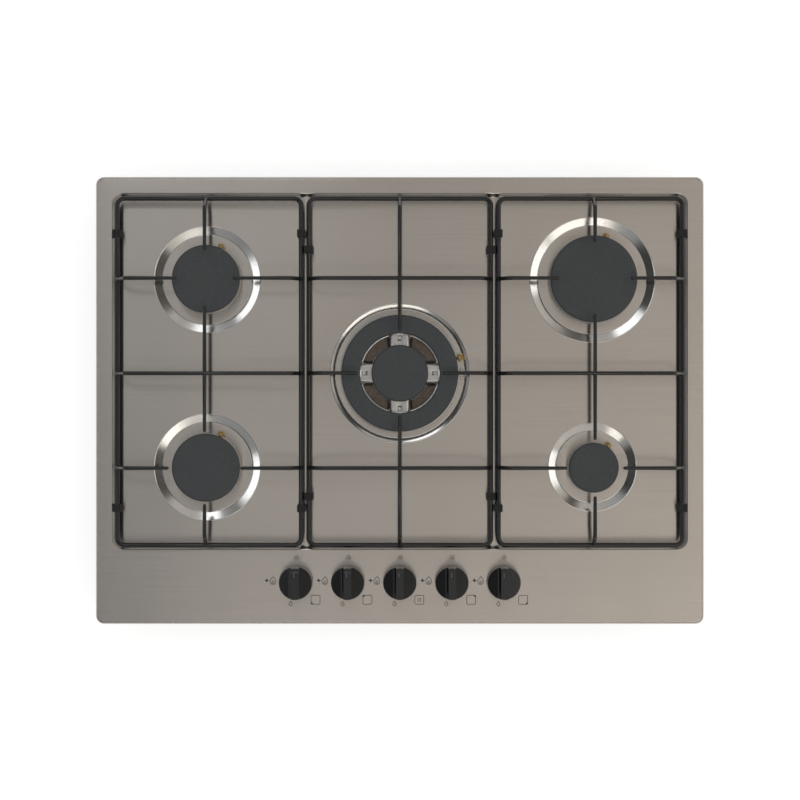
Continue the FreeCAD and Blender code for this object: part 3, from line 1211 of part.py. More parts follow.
def strap_screws():
    seats = [FreeCAD.Vector(x, RAIL_Y - STRAP_THICKNESS, WORKTOP + RAIL_LEVEL + offset)
             for x in TAP_XS for offset in (-STRAP_SCREW_OFFSET, STRAP_SCREW_OFFSET)]
    return [screw(seat, BACK * -1) for seat in seats]


def build_casing():
    save("top_plate", make_top_plate())
    save("worktop_seal", make_worktop_seal())
    save("base_tray", make_base_tray())
    brackets = [make_bracket(*place) for place in bracket_places()]
    save("steel_brackets", *brackets, *[make_rail_strap(x) for x in TAP_XS])
    wall_screws = [screw(seat, outward) for seat, outward in wall_screw_places()]
    save("casing_screws", *wall_screws, *burner_screws(), *strap_screws())


def build_burners():
    for burner in BURNERS:
        save("burner_cup_" + burner.name, make_cup(burner))
        crown = make_wok_crown(burner) if burner.is_wok else make_crown(burner)
        save("crown_" + burner.name, crown)
        save("cap_" + burner.name, make_cap(burner))
        if burner.is_wok:
            save("cap_wok_ring", make_wok_ring_cap(burner))
    save("injectors", *[make_injector(burner) for burner in BURNERS])
    save("flame_sensors", *[make_probe(burner) for burner in BURNERS])
    save("spark_electrodes", *[make_electrode(burner) for burner in BURNERS])


def build_gas_train():
    save("gas_rail", make_gas_rail())
    save("inlet_elbow", make_inlet_elbow())
    save("tap_bodies", *[make_tap_body(x) for x in TAP_XS])
    save("feed_tubes", *[make_feed_tube(b, x) for b, x in zip(BURNERS, TAP_XS)])


def build_controls():
    for number, x in enumerate(TAP_XS, start=1):
        save("tap_plug_%d" % number, make_tap_plug(x))
        save("return_spring_%d" % number, make_return_spring(x))
        save("spindle_%d" % number, make_spindle(x))
        save("knob_%d" % number, make_knob(x))
    save("knob_seals", *[make_knob_seal(x) for x in TAP_XS])


def build_ignition():
    save("switch_harness", make_switch_leads(), *[make_switch(x) for x in TAP_XS])
    save("spark_generator", make_spark_generator())
    save("spark_leads", *[make_spark_lead(burner) for burner in BURNERS])
    save("terminal_block", make_terminal_block(), *make_mains_wires())
    save("cable_gland", make_cable_gland())


def build_pan_supports():
    for name, side in (("left", -1), ("right", 1)):
        save("pan_support_" + name, make_side_support(side))
        columns = (side * SIDE_SUPPORT_INNER, side * SIDE_SUPPORT_OUTER)
        save("support_feet_" + name, *make_feet(columns, SIDE_FOOT_ROWS))
    save("pan_support_centre", make_centre_support())
    columns = (-CENTRE_SUPPORT_HALF, CENTRE_SUPPORT_HALF)
    save("support_feet_centre", *make_feet(columns, CENTRE_FOOT_ROWS))


def main():
    os.makedirs("parts", exist_ok=True)
    build_casing()
    build_burners()
    build_gas_train()
    build_controls()
    build_ignition()
    build_pan_supports()


main()
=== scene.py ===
"""A built-in five-burner gas cooktop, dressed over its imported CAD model."""
import logging
import math
from collections.abc import Callable, Iterator, Sequence
from contextlib import contextmanager
from dataclasses import dataclass
from enum import Enum
from functools import lru_cache
from itertools import pairwise

import bmesh
import bpy
from mathutils import Matrix, Vector


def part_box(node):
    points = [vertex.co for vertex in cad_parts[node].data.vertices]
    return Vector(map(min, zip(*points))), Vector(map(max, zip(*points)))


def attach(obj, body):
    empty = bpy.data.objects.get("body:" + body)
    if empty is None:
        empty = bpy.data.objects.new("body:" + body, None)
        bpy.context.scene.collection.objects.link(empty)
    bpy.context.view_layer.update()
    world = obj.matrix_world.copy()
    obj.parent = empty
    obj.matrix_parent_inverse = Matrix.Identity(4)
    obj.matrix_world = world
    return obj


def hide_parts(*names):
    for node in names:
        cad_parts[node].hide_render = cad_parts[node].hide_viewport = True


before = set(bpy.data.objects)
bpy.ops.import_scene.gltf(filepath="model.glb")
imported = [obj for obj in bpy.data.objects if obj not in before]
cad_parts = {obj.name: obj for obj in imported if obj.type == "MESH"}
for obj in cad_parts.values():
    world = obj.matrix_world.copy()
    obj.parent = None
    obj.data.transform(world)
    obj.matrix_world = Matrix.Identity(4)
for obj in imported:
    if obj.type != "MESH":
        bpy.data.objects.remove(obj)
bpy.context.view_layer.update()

MM = 0.001                      # sizes below are in millimetres
LOG = logging.getLogger("cooktop")
Point = tuple[float, float]
Place = tuple[float, float, float]
Piece = bpy.types.Object

# levels above the tray's base
LIP = 50.0
WELL = 54.5
RIM = 60.5
CAP_UNDERSIDE = 67.5
CASING = "casing"
NEAR = 0.01                     # levels and places that count as the same
DOUBLES = 0.002                 # vertices nearer than this are one
BLUNT_END = ((0.9, 0.86), (0.12, 0.62))     # radii back from a wire's end, and its share there


# ---------------------------------------------------------------- modelling


def deselect() -> None:
    if bpy.context.object and bpy.context.object.mode != "OBJECT":
        bpy.ops.object.mode_set(mode="OBJECT")
    bpy.ops.object.select_all(action="DESELECT")


def only(piece: Piece) -> None:
    """Select one piece alone and make it active."""
    deselect()
    piece.select_set(True)
    bpy.context.view_layer.objects.active = piece


@contextmanager
def editing(piece: Piece) -> Iterator[None]:
    """Edit one piece's mesh, with all of it selected at first."""
    only(piece)
    bpy.ops.object.mode_set(mode="EDIT")
    bpy.ops.mesh.select_mode(type="VERT")
    bpy.ops.mesh.select_all(action="SELECT")
    yield
    bpy.ops.object.mode_set(mode="OBJECT")


def started(name: str) -> Piece:
    """Name the primitive just added and move its place into its mesh."""
    piece = bpy.context.object
    piece.name = piece.data.name = name
    bpy.ops.object.transform_apply(location=True, rotation=True, scale=True)
    return piece


def select_edges(piece: Piece, wanted: Callable[[Vector, Vector, int], bool]) -> None:
    """Select edges in edit mode.

    Args:
        piece: The piece in edit mode.
        wanted: Told both ends in millimetres and the number of faces at the edge.
    """
    bpy.ops.mesh.select_mode(type="VERT")
    mesh = bmesh.from_edit_mesh(piece.data)
    for face in mesh.faces:
        face.select_set(False)
    for edge in mesh.edges:
        ends = (edge.verts[0].co / MM, edge.verts[1].co / MM)
        edge.select_set(wanted(*ends, len(edge.link_faces)))
    bmesh.update_edit_mesh(piece.data)


def select_faces(piece: Piece, wanted: Callable[[Vector, Vector], bool]) -> None:
    """Select faces in edit mode.

    Args:
        piece: The piece in edit mode.
        wanted: Told the face's middle in millimetres and its normal.
    """
    bpy.ops.mesh.select_mode(type="FACE")
    bpy.ops.mesh.select_all(action="DESELECT")
    mesh = bmesh.from_edit_mesh(piece.data)
    for face in mesh.faces:
        if wanted(face.calc_center_median() / MM, face.normal):
            face.select_set(True)
    bmesh.update_edit_mesh(piece.data)


def select_vertices(piece: Piece, wanted: Callable[[Vector], bool]) -> None:
    """Select vertices in edit mode by their place in millimetres."""
    bpy.ops.mesh.select_mode(type="VERT")
    mesh = bmesh.from_edit_mesh(piece.data)
    for face in mesh.faces:
        face.select_set(False)
    for vertex in mesh.verts:
        vertex.select_set(wanted(vertex.co / MM))
    bmesh.update_edit_mesh(piece.data)


def modify(piece: Piece, kind: str, **settings: object) -> None:
    """Add one modifier with its settings and apply it.

    Args:
        piece: The piece to change.
        kind: The modifier's type.
        **settings: Its properties.
    """
    only(piece)
    modifier = piece.modifiers.new(kind.lower(), kind)
    for key, value in settings.items():
        setattr(modifier, key, value)
    bpy.ops.object.modifier_apply(modifier=modifier.name)


def joined(pieces: Sequence[Piece]) -> Piece:
    """Join pieces into the first one."""
    only(pieces[0])
    for piece in pieces[1:]:
        piece.select_set(True)
    if len(pieces) > 1:
        bpy.ops.object.join()
    return pieces[0]


def combine(piece: Piece, other: Piece, operation: str = "DIFFERENCE") -> None:
    """Cut another shape out of a piece, or unite the two, and delete the other.

    Args:
        piece: The piece that stays.
        other: The cutter or the addition.
        operation: DIFFERENCE or UNION.
    """
    modify(piece, "BOOLEAN", operation=operation, object=other, solver="EXACT")
    bpy.data.objects.remove(other)


def finish(piece: Piece, edge: float = 0.0, segments: int = 2, sharp: float = 35.0) -> Piece:
    """Round the sharp edges, merge doubles, face the skin outward and shade it.

    Args:
        piece: The closed piece.
        edge: Width of the rounding in millimetres, or 0 for none.
        segments: Facets of the rounding.
        sharp: Edges above this angle, in degrees, are rounded and stay crisp.

    Returns:
        The same piece.
    """
    with editing(piece):
        bpy.ops.mesh.remove_doubles(threshold=DOUBLES * MM)
        bpy.ops.mesh.normals_make_consistent(inside=False)
    if edge:
        modify(piece, "BEVEL", width=edge * MM, segments=segments, limit_method="ANGLE",
               angle_limit=math.radians(sharp), use_clamp_overlap=True)
    only(piece)
    bpy.ops.object.shade_smooth_by_angle(angle=math.radians(sharp))
    modify(piece, "WEIGHTED_NORMAL", keep_sharp=True, weight=60)
    return piece


def copied(piece: Piece, name: str, move: Place) -> Piece:
    """Copy a piece with its own mesh and move the mesh.

    Args:
        piece: The piece to copy.
        name: The copy's name.
        move: How far it moves, in millimetres.

    Returns:
        The copy.
    """
    twin = piece.copy()
    twin.data = piece.data.copy()
    twin.name = twin.data.name = name
    bpy.context.collection.objects.link(twin)
    twin.data.transform(Matrix.Translation(Vector(move) * MM))
    return twin


def softened(points: Sequence[Point], radius: float | dict[int, float],
             steps: int = 4) -> list[Point]:
    """Round the inner corners of a profile.

    Args:
        points: The profile's corners.
        radius: One radius, or radii by corner number; corners left out stay sharp.
        steps: Facets of each rounding.

    Returns:
        The profile with arcs.
    """
    line = [Vector(point) for point in points]
    result = [line[0]]
    for index in range(1, len(line) - 1):
        size = radius.get(index, 0.0) if isinstance(radius, dict) else radius
        back = line[index - 1] - line[index]
        ahead = line[index + 1] - line[index]
        opening = back.angle(ahead)
        if size <= 0 or opening > math.radians(179):
            result.append(line[index])
            continue
        back_room = back.length * (1.0 if index == 1 else 0.5)
        ahead_room = ahead.length * (1.0 if index == len(line) - 2 else 0.5)
        reach = min(size / math.tan(opening / 2), back_room, ahead_room)
        size = reach * math.tan(opening / 2)
        inward = (back.normalized() + ahead.normalized()).normalized()
        centre = line[index] + inward * size / math.sin(opening / 2)
        first = line[index] + back.normalized() * reach - centre
        last = line[index] + ahead.normalized() * reach - centre
        begin = math.atan2(first.y, first.x)
        sweep = (math.atan2(last.y, last.x) - begin + math.pi) % math.tau - math.pi
        for step in range(steps + 1):
            turn = begin + sweep * step / steps
            result.append(centre + Vector((math.cos(turn), math.sin(turn))) * size)
    result.append(line[-1])
    return [(point.x, point.y) for point in result]


def disc(name: str, centre: Point, radius: float, level: float, sides: int,
         fill: str = "NGON") -> Piece:
    """Lay a flat disc, or its edge alone where fill is NOTHING.

    Args:
        name: The piece's name.
        centre: Its middle in millimetres.
        radius: Its radius.
        level: Its height.
        sides: Points on its edge.
        fill: NGON or NOTHING.

    Returns:
        The disc, looking up.
    """
    deselect()
    bpy.ops.mesh.primitive_circle_add(vertices=sides, radius=radius * MM, fill_type=fill,
                                      location=(centre[0] * MM, centre[1] * MM, level * MM))
    return started(name)


def turned(name: str, centre: Point, profile: Sequence[Point], sides: int = 64,
           ring: bool = False) -> Piece:
    """Turn a profile round an upright axis, ring by ring.

    Args:
        name: The piece's name.
        centre: The axis in millimetres.
        profile: Radius and level of each ring. A ring's profile ends where it starts.
        sides: Facets round the axis.
        ring: Whether the profile closes on itself, else its two ends get faces.

    Returns:
        The closed piece.
    """
    x, y = centre[0] * MM, centre[1] * MM
    radius, level = profile[0]
    piece = disc(name, centre, radius, level, sides, "NOTHING")
    with editing(piece):
        for (radius, level), (next_radius, next_level) in pairwise(profile):
            rise = (next_level - level) * MM
            bpy.ops.mesh.extrude_region_move(TRANSFORM_OT_translate={"value": (0, 0, rise)})
            if next_radius != radius:
                ratio = next_radius / radius
                bpy.ops.transform.resize(value=(ratio, ratio, 1),
                                         center_override=(x, y, next_level * MM))
        bpy.ops.mesh.select_all(action="SELECT")
        if ring:
            bpy.ops.mesh.remove_doubles(threshold=DOUBLES * MM)
        else:
            bpy.ops.mesh.fill_holes(sides=0)
    return piece


def rounded_sheet(name: str, low: Point, high: Point, level: float, corner: float) -> Piece:
    """Lay a flat face with rounded corners.

    Args:
        name: The piece's name.
        low: Its left front corner in millimetres.
        high: Its right rear corner.
        level: Its height.
        corner: Radius of its corners.

    Returns:
        The face, looking up.
    """
    width, length = high[0] - low[0], high[1] - low[1]
    centre = ((low[0] + high[0]) / 2 * MM, (low[1] + high[1]) / 2 * MM, level * MM)
    deselect()
    bpy.ops.mesh.primitive_plane_add(size=width * MM, location=centre)
    piece = started(name)
    with editing(piece):
        bpy.ops.transform.resize(value=(1, length / width, 1), center_override=centre)
        bpy.ops.mesh.bevel(affect="VERTICES", offset=corner * MM, segments=8)
    return piece


def press(profile: Sequence[Point]) -> None:
    """Press the selected face inward along a profile of distance and level."""
    for (distance, level), (next_distance, next_level) in pairwise(profile):
        step = max(next_distance - distance, 0.001)
        bpy.ops.mesh.inset(thickness=step * MM, depth=(next_level - level) * MM)


def wire(name: str, route: Sequence[Place], radius: float, bend: float, closed: bool = False,
         blunt: bool = False, sides: int = 16) -> Piece:
    """Bend a round wire along a route of straight runs.

    Args:
        name: The piece's name.
        route: Its axis' corners in millimetres; a closed one ends where it starts.
        radius: The wire's radius.
        bend: Radius of its axis in the bends.
        closed: Whether the ends meet.
        blunt: Whether the far end is ground to a blunt point.
        sides: Facets round the wire.

    Returns:
        The closed piece.
    """
    points = [Vector(point) * MM for point in route]
    along = (points[1] - points[0]).normalized()
    deselect()
    bpy.ops.mesh.primitive_circle_add(vertices=sides, radius=radius * MM, location=points[0],
                                      rotation=along.to_track_quat("Z", "Y").to_euler())
    piece = started(name)
    here = points[0]

    def draw_to(there: Vector) -> None:
        """Extrude the open end straight to a place."""
        bpy.ops.mesh.extrude_region_move(TRANSFORM_OT_translate={"value": there - here})

    with editing(piece):
        for before, corner, after in zip(points, points[1:], points[2:]):
            along = (corner - before).normalized()
            onward = (after - corner).normalized()
            turn = along.angle(onward)
            setback = bend * MM * math.tan(turn / 2)
            axis = along.cross(onward).normalized()
            draw_to(corner - along * setback)
            here = corner - along * setback
            steps = max(3, round(math.degrees(turn) / 11))
            bpy.ops.mesh.spin(steps=steps, angle=turn, axis=-axis,
                              center=here + axis.cross(along) * bend * MM)
            here = corner + onward * setback
        end = points[-1]
        along = (end - here).normalized()
        for back, ratio in BLUNT_END if blunt else ():
            there = end - along * radius * back * MM
            draw_to(there)
            here = there
            bpy.ops.transform.resize(value=(ratio,) * 3, center_override=here)
        draw_to(end)
        bpy.ops.mesh.select_all(action="SELECT")
        bpy.ops.mesh.remove_doubles(threshold=DOUBLES * MM)
        if not closed:
            bpy.ops.mesh.fill_holes(sides=0)
    return piece


def block(name: str, low: Place, high: Place) -> Piece:
    """Make a plain block between two corners, for cutting or further shaping."""
    centre = (Vector(low) + Vector(high)) / 2 * MM
    size = (Vector(high) - Vector(low)) * MM
    deselect()
    bpy.ops.mesh.primitive_cube_add(size=size.x, location=centre)
    piece = started(name)
    with editing(piece):
        bpy.ops.transform.resize(value=(1, size.y / size.x, size.z / size.x),
                                 center_override=centre)
    return piece


def post(name: str, centre: Point, radius: float, low: float, high: float,
         sides: int = 32) -> Piece:
    """Make a plain upright cylinder, for cutting or further shaping."""
    return turned(name, centre, [(radius, low), (radius, high)], sides)


@lru_cache
def middle(node: str) -> Point:
    """Give the plan centre of a CAD node in millimetres."""
    low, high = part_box(node)
    return (low.x + high.x) / 2 / MM, (low.y + high.y) / 2 / MM


def polar(centre: Point, radius: float, angle: float) -> Point:
    """Give the point at a radius and an angle in degrees round a centre."""
    turn = math.radians(angle)
    return centre[0] + radius * math.cos(turn), centre[1] + radius * math.sin(turn)


# ---------------------------------------------------------------- finishes


def linear(colour: str) -> tuple[float, float, float, float]:
    """Turn an sRGB hex colour into a linear one."""
    values = [int(colour[i:i + 2], 16) / 255 for i in (1, 3, 5)]
    red, green, blue = (value / 12.92 if value <= 0.04045 else ((value + 0.055) / 1.055) ** 2.4
                        for value in values)
    return red, green, blue, 1.0


def add_node(material: bpy.types.Material | bpy.types.World, kind: str,
             inputs: dict[str | int, object] | None = None, **settings: object) -> bpy.types.Node:
    """Add one node with its settings and links.

    Args:
        material: The material or world that gets it.
        kind: The node's type.
        inputs: Values, or sockets to link, by input name or number.
        **settings: The node's own properties.

    Returns:
        The node.
    """
    node = material.node_tree.nodes.new(kind)
    for key, value in settings.items():
        setattr(node, key, value)
    for key, value in (inputs or {}).items():
        if isinstance(value, bpy.types.NodeSocket):
            material.node_tree.links.new(value, node.inputs[key])
        else:
            node.inputs[key].default_value = value
    return node


class Surface(Enum):
    """How a surface was made: the stretch of its grain along X, Y and Z."""

    BRUSHED = (0.006, 1.0, 1.0)
    TURNED = (0.08, 0.08, 1.0)
    CAST = (1.0, 1.0, 1.0)
    FIRED = (1.0, 1.0, 1.001)
    MOULDED = (1.0, 1.001, 1.0)
    SPANGLED = (1.001, 1.0, 1.0)


@dataclass(frozen=True)
class Finish:
    """One real finish: its colours, its gloss and the size of its grain.

    The colour shades to the second one with the grain and, more slowly, with wear.
    Roughness runs between its two values with the grain; relief is the grain's height.
    """

    name: str
    slot: str | None
    colour: str
    second: str
    roughness: Point
    surface: Surface
    grain: float
    relief: float = 0.0
    metallic: float = 0.0
    coat: float = 0.0
    anisotropy: float = 0.0
    wear: float = 60.0

    def grain_node(self, material: bpy.types.Material) -> bpy.types.NodeSocket:
        """Draw the grain and give its strength."""
        place = add_node(material, "ShaderNodeTexCoord").outputs["Object"]
        mapping = add_node(material, "ShaderNodeMapping",
                           {"Vector": place, "Scale": self.surface.value})
        pitch = 1 / (self.grain * MM)
        if self.surface is Surface.SPANGLED:
            crystals = add_node(material, "ShaderNodeTexVoronoi",
                                {"Vector": mapping.outputs[0], "Scale": pitch})
            return add_node(material, "ShaderNodeSeparateColor",
                            {"Color": crystals.outputs["Color"]}).outputs[0]
        detail = {Surface.FIRED: 1.0, Surface.MOULDED: 2.0}.get(self.surface, 4.0)
        return add_node(material, "ShaderNodeTexNoise",
                        {"Vector": mapping.outputs[0], "Scale": pitch, "Detail": detail,
                         "Roughness": 0.6}).outputs[0]

    def material(self) -> bpy.types.Material:
        """Build the material, or give the one already built."""
        if self.name in bpy.data.materials:
            return bpy.data.materials[self.name]
        material = bpy.data.materials.new(self.name)
        material.use_nodes = True
        material.node_tree.nodes.clear()
        grain = self.grain_node(material)
        place = add_node(material, "ShaderNodeTexCoord").outputs["Object"]
        wear = add_node(material, "ShaderNodeTexNoise",
                        {"Vector": place, "Scale": 1 / (self.wear * MM), "Detail": 3.0})
        blend = add_node(material, "ShaderNodeMix", {0: 0.3, 2: grain, 3: wear.outputs[0]})
        level = add_node(material, "ShaderNodeMapRange",
                         {"Value": blend.outputs[0], "From Min": 0.3, "From Max": 0.7})
        tint = add_node(material, "ShaderNodeMix",
                        {0: level.outputs[0], 6: linear(self.colour), 7: linear(self.second)},
                        data_type="RGBA")
        gloss = add_node(material, "ShaderNodeMapRange",
                         {"Value": blend.outputs[0], "From Min": 0.3, "From Max": 0.7,
                          "To Min": self.roughness[0], "To Max": self.roughness[1]})
        inputs = {"Base Color": tint.outputs[2], "Roughness": gloss.outputs[0],
                  "Metallic": self.metallic, "Coat Weight": self.coat,
                  "Coat Roughness": 0.08}
        if self.relief:
            bump = add_node(material, "ShaderNodeBump",
                            {"Height": grain, "Distance": self.relief * MM, "Strength": 1.0})
            inputs["Normal"] = bump.outputs[0]
        if self.anisotropy:
            tangent = add_node(material, "ShaderNodeTangent", direction_type="UV_MAP",
                               uv_map="grain")
            inputs |= {"Anisotropic": self.anisotropy, "Anisotropic Rotation": 0.25,
                       "Tangent": tangent.outputs[0]}
        shader = add_node(material, "ShaderNodeBsdfPrincipled", inputs)
        add_node(material, "ShaderNodeOutputMaterial", {"Surface": shader.outputs[0]})
        return material


# Stainless sheet, brushed in the coil: soft long reflections across the grain.
BRUSHED_STEEL = Finish("stainless_brushed", "stainless", "#c8c1b9", "#beb7af", (0.2, 0.24),
                       Surface.BRUSHED, 0.7, 0.0005, 1.0, anisotropy=1.0)
# The same sheet drawn over the press tool's ring: nearly a mirror, with crisp streaks; its paler
# colour is a painted highlight.
BURNISHED_HIGHLIGHT_STEEL = Finish("stainless_burnished_painted_highlight", "stainless", "#d8d5d0", "#cac7c2", (0.1, 0.16),
                         Surface.CAST, 2.0, 0.0015, 1.0)
# Hot-dip zinc on steel: pale crystals a centimetre wide.
GALVANISED = Finish("galvanised_sheet", "galvanised_steel", "#a9aeb1", "#8d9396", (0.34, 0.5),
                    Surface.SPANGLED, 9.0, 0.0, 1.0)
# Electroplated zinc on small steel parts: bright, slightly blue.
ZINC_PLATED = Finish("zinc_plated_steel", "zinc_steel", "#c2c6ca", "#a6abb2", (0.25, 0.35),
                     Surface.CAST, 1.5, 0.003, 1.0)
# Bare turned steel: fine rings along the axis.
TURNED_STEEL = Finish("turned_steel", "turned_steel", "#a8a6a3", "#8e8c8a", (0.25, 0.4),
                      Surface.TURNED, 0.5, 0.004, 1.0)
# Die-cast aluminium, tumbled: an even fine grain, pale grey.
BURNER_ALLOY = Finish("cast_aluminium", "burner_alloy", "#dcdad6", "#c2c0bc", (0.26, 0.4),
                      Surface.CAST, 1.2, 0.02, 1.0)
# Painted shade: stainless under the middle burner, a dark brown that stands in for the shade of its
# crown.
PAINTED_SHADE_STEEL = Finish("painted_shade_steel", "stainless", "#82786e", "#685e55", (0.3, 0.42),
                      Surface.CAST, 3.0, 0.002, 1.0)
# Matt black enamel fired on steel: a slight orange peel that softens every highlight.
CAP_ENAMEL = Finish("matt_black_enamel", "cap_enamel", "#4c4f51", "#424547", (0.5, 0.62),
                    Surface.FIRED, 1.6, 0.012, coat=0.0)
# Free-cutting brass, turned.
BRASS = Finish("turned_brass", "brass", "#cfae72", "#b8955a", (0.2, 0.35), Surface.TURNED,
               0.5, 0.004, 1.0)
# Glazed alumina: white and glossy.
CERAMIC = Finish("glazed_alumina", "ceramic", "#efece4", "#e4e0d6", (0.12, 0.2), Surface.FIRED,
                 2.5, 0.01, coat=0.3)
# Nickel alloy of a flame sensor, yellowed by heat.
SENSOR_METAL = Finish("heat_tinted_nickel", "sensor_metal", "#c8b48a", "#b49a6c", (0.25, 0.4),
                      Surface.TURNED, 0.6, 0.004, 1.0)
# Drawn aluminium tube.
ALUMINIUM_TUBE = Finish("drawn_aluminium", "aluminium_tube", "#cccdce", "#b4b6b8", (0.25, 0.4),
                        Surface.CAST, 1.5, 0.004, 1.0)
# Glassy black enamel on wire: deep black with a crisp line of light.
SUPPORT_ENAMEL = Finish("glossy_black_enamel", "support_enamel", "#0b0c0d", "#070808",
                        (0.13, 0.18), Surface.FIRED, 1.8, 0.006, coat=0.35)
# Moulded silicone rubber, matt black.
RUBBER = Finish("black_rubber", "rubber", "#1d1d1e", "#161617", (0.6, 0.75), Surface.MOULDED,
                0.8, 0.02)
# Moulded glossy black plastic of the knobs.
KNOB_PLASTIC = Finish("glossy_black_plastic", "knob_plastic", "#0e0e0f", "#0a0a0b",
                      (0.2, 0.28), Surface.MOULDED, 0.6, 0.002, coat=0.6)
# Flame-retardant moulded nylon of the electrical parts.
HOUSING_PLASTIC = Finish("grey_nylon", "housing_plastic", "#3c3e40", "#313335", (0.45, 0.6),
                         Surface.MOULDED, 0.8, 0.02)
# Silicone insulation, slightly pink-grey.
SILICONE = Finish("silicone_insulation", "silicone_lead", "#b9b2aa", "#a8a199", (0.45, 0.6),
                  Surface.MOULDED, 1.2, 0.01)
# Black screen-printed ink, fired on: dull against the steel.
PRINT_INK = Finish("black_screen_ink", None, "#1d1d20", "#161618", (0.45, 0.6),
                   Surface.MOULDED, 0.6, 0.0)
# Grey ink in the knob's pointer.
POINTER_INK = Finish("grey_pointer_ink", None, "#8f9193", "#7f8183", (0.4, 0.5),
                     Surface.MOULDED, 0.6, 0.0)

NODE_FINISHES: dict[str, Finish] = {
    "worktop_seal": RUBBER, "base_tray": GALVANISED, "steel_brackets": GALVANISED,
    "casing_screws": ZINC_PLATED, "injectors": BRASS, "flame_sensors": SENSOR_METAL,
    "gas_rail": TURNED_STEEL, "inlet_elbow": BRASS, "tap_bodies": BRASS,
    "feed_tubes": ALUMINIUM_TUBE, "knob_seals": RUBBER, "switch_harness": HOUSING_PLASTIC,
    "spark_generator": HOUSING_PLASTIC, "spark_leads": SILICONE,
    "terminal_block": HOUSING_PLASTIC, "cable_gland": HOUSING_PLASTIC,
}
NODE_FINISHES |= {f"tap_plug_{i}": BRASS for i in range(1, 6)}
NODE_FINISHES |= {f"return_spring_{i}": ZINC_PLATED for i in range(1, 6)}
NODE_FINISHES |= {f"spindle_{i}": TURNED_STEEL for i in range(1, 6)}
BURNER_NAMES = ("front_left", "rear_left", "wok", "rear_right", "front_right")
NODE_FINISHES |= {f"burner_cup_{name}": BURNER_ALLOY for name in BURNER_NAMES}


def dress(piece: Piece, finish: Finish) -> None:
    """Give a piece, or a CAD node, one finish all over."""
    if not piece.material_slots:
        piece.data.materials.append(finish.material())
    for slot in piece.material_slots:
        slot.material = finish.material()


def hand_over(piece: Piece, body: str, finish: Finish, *nodes: str) -> Piece:
    """Dress a finished piece, set it on its body and hide the nodes it stands for.

    Args:
        piece: The finished piece.
        body: The CAD body that it moves with.
        finish: Its finish.
        *nodes: The CAD nodes that it replaces.

    Returns:
        The same piece.
    """
    dress(piece, finish)
    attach(piece, body)
    if nodes:
        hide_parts(*nodes)
    LOG.info("%s rides on %s, %d faces", piece.name, body, len(piece.data.polygons))
    return piece


# ---------------------------------------------------------------- top plate


@dataclass(frozen=True)
class BurnerPlace:
    """One burner's sizes, from which its recess, crown and cap follow."""

    name: str
    cap: float
    sensor: Point               # radius and angle round the burner
    spark: Point
    ports: int
    recess_margin: float = 21.3
    slope: float = 8.8
    floor: float = 52.1
    base: float = 54.5          # underside of the crown
    collar_inset: float = 13.5

    @property
    def centre(self) -> Point:
        """The burner's axis."""
        return middle(f"cap_{self.name}")

    @property
    def port_wall(self) -> float:
        """Outer radius of the wall that holds the ports."""
        return self.cap - 2.2

    @property
    def collar(self) -> float:
        """Radius of the cup's collar in the plate."""
        return self.cap - self.collar_inset


BURNERS = (
    BurnerPlace("front_left", 37.75, (39.35, 67.0), (30.75, -30.0), 32),
    BurnerPlace("rear_left", 37.75, (39.35, 67.0), (30.75, -30.0), 32),
    BurnerPlace("rear_right", 48.3, (50.4, 72.6), (41.3, 210.0), 41),
    BurnerPlace("front_right", 27.7, (29.3, 54.6), (20.7, 210.0), 22),
)
WOK = BurnerPlace("wok", 31.5, (68.8, 14.8), (68.6, 0.0), 26, recess_margin=46.0, slope=5.0,
                  floor=53.1, base=55.5, collar_inset=8.0)
ALL_BURNERS = (*BURNERS, WOK)


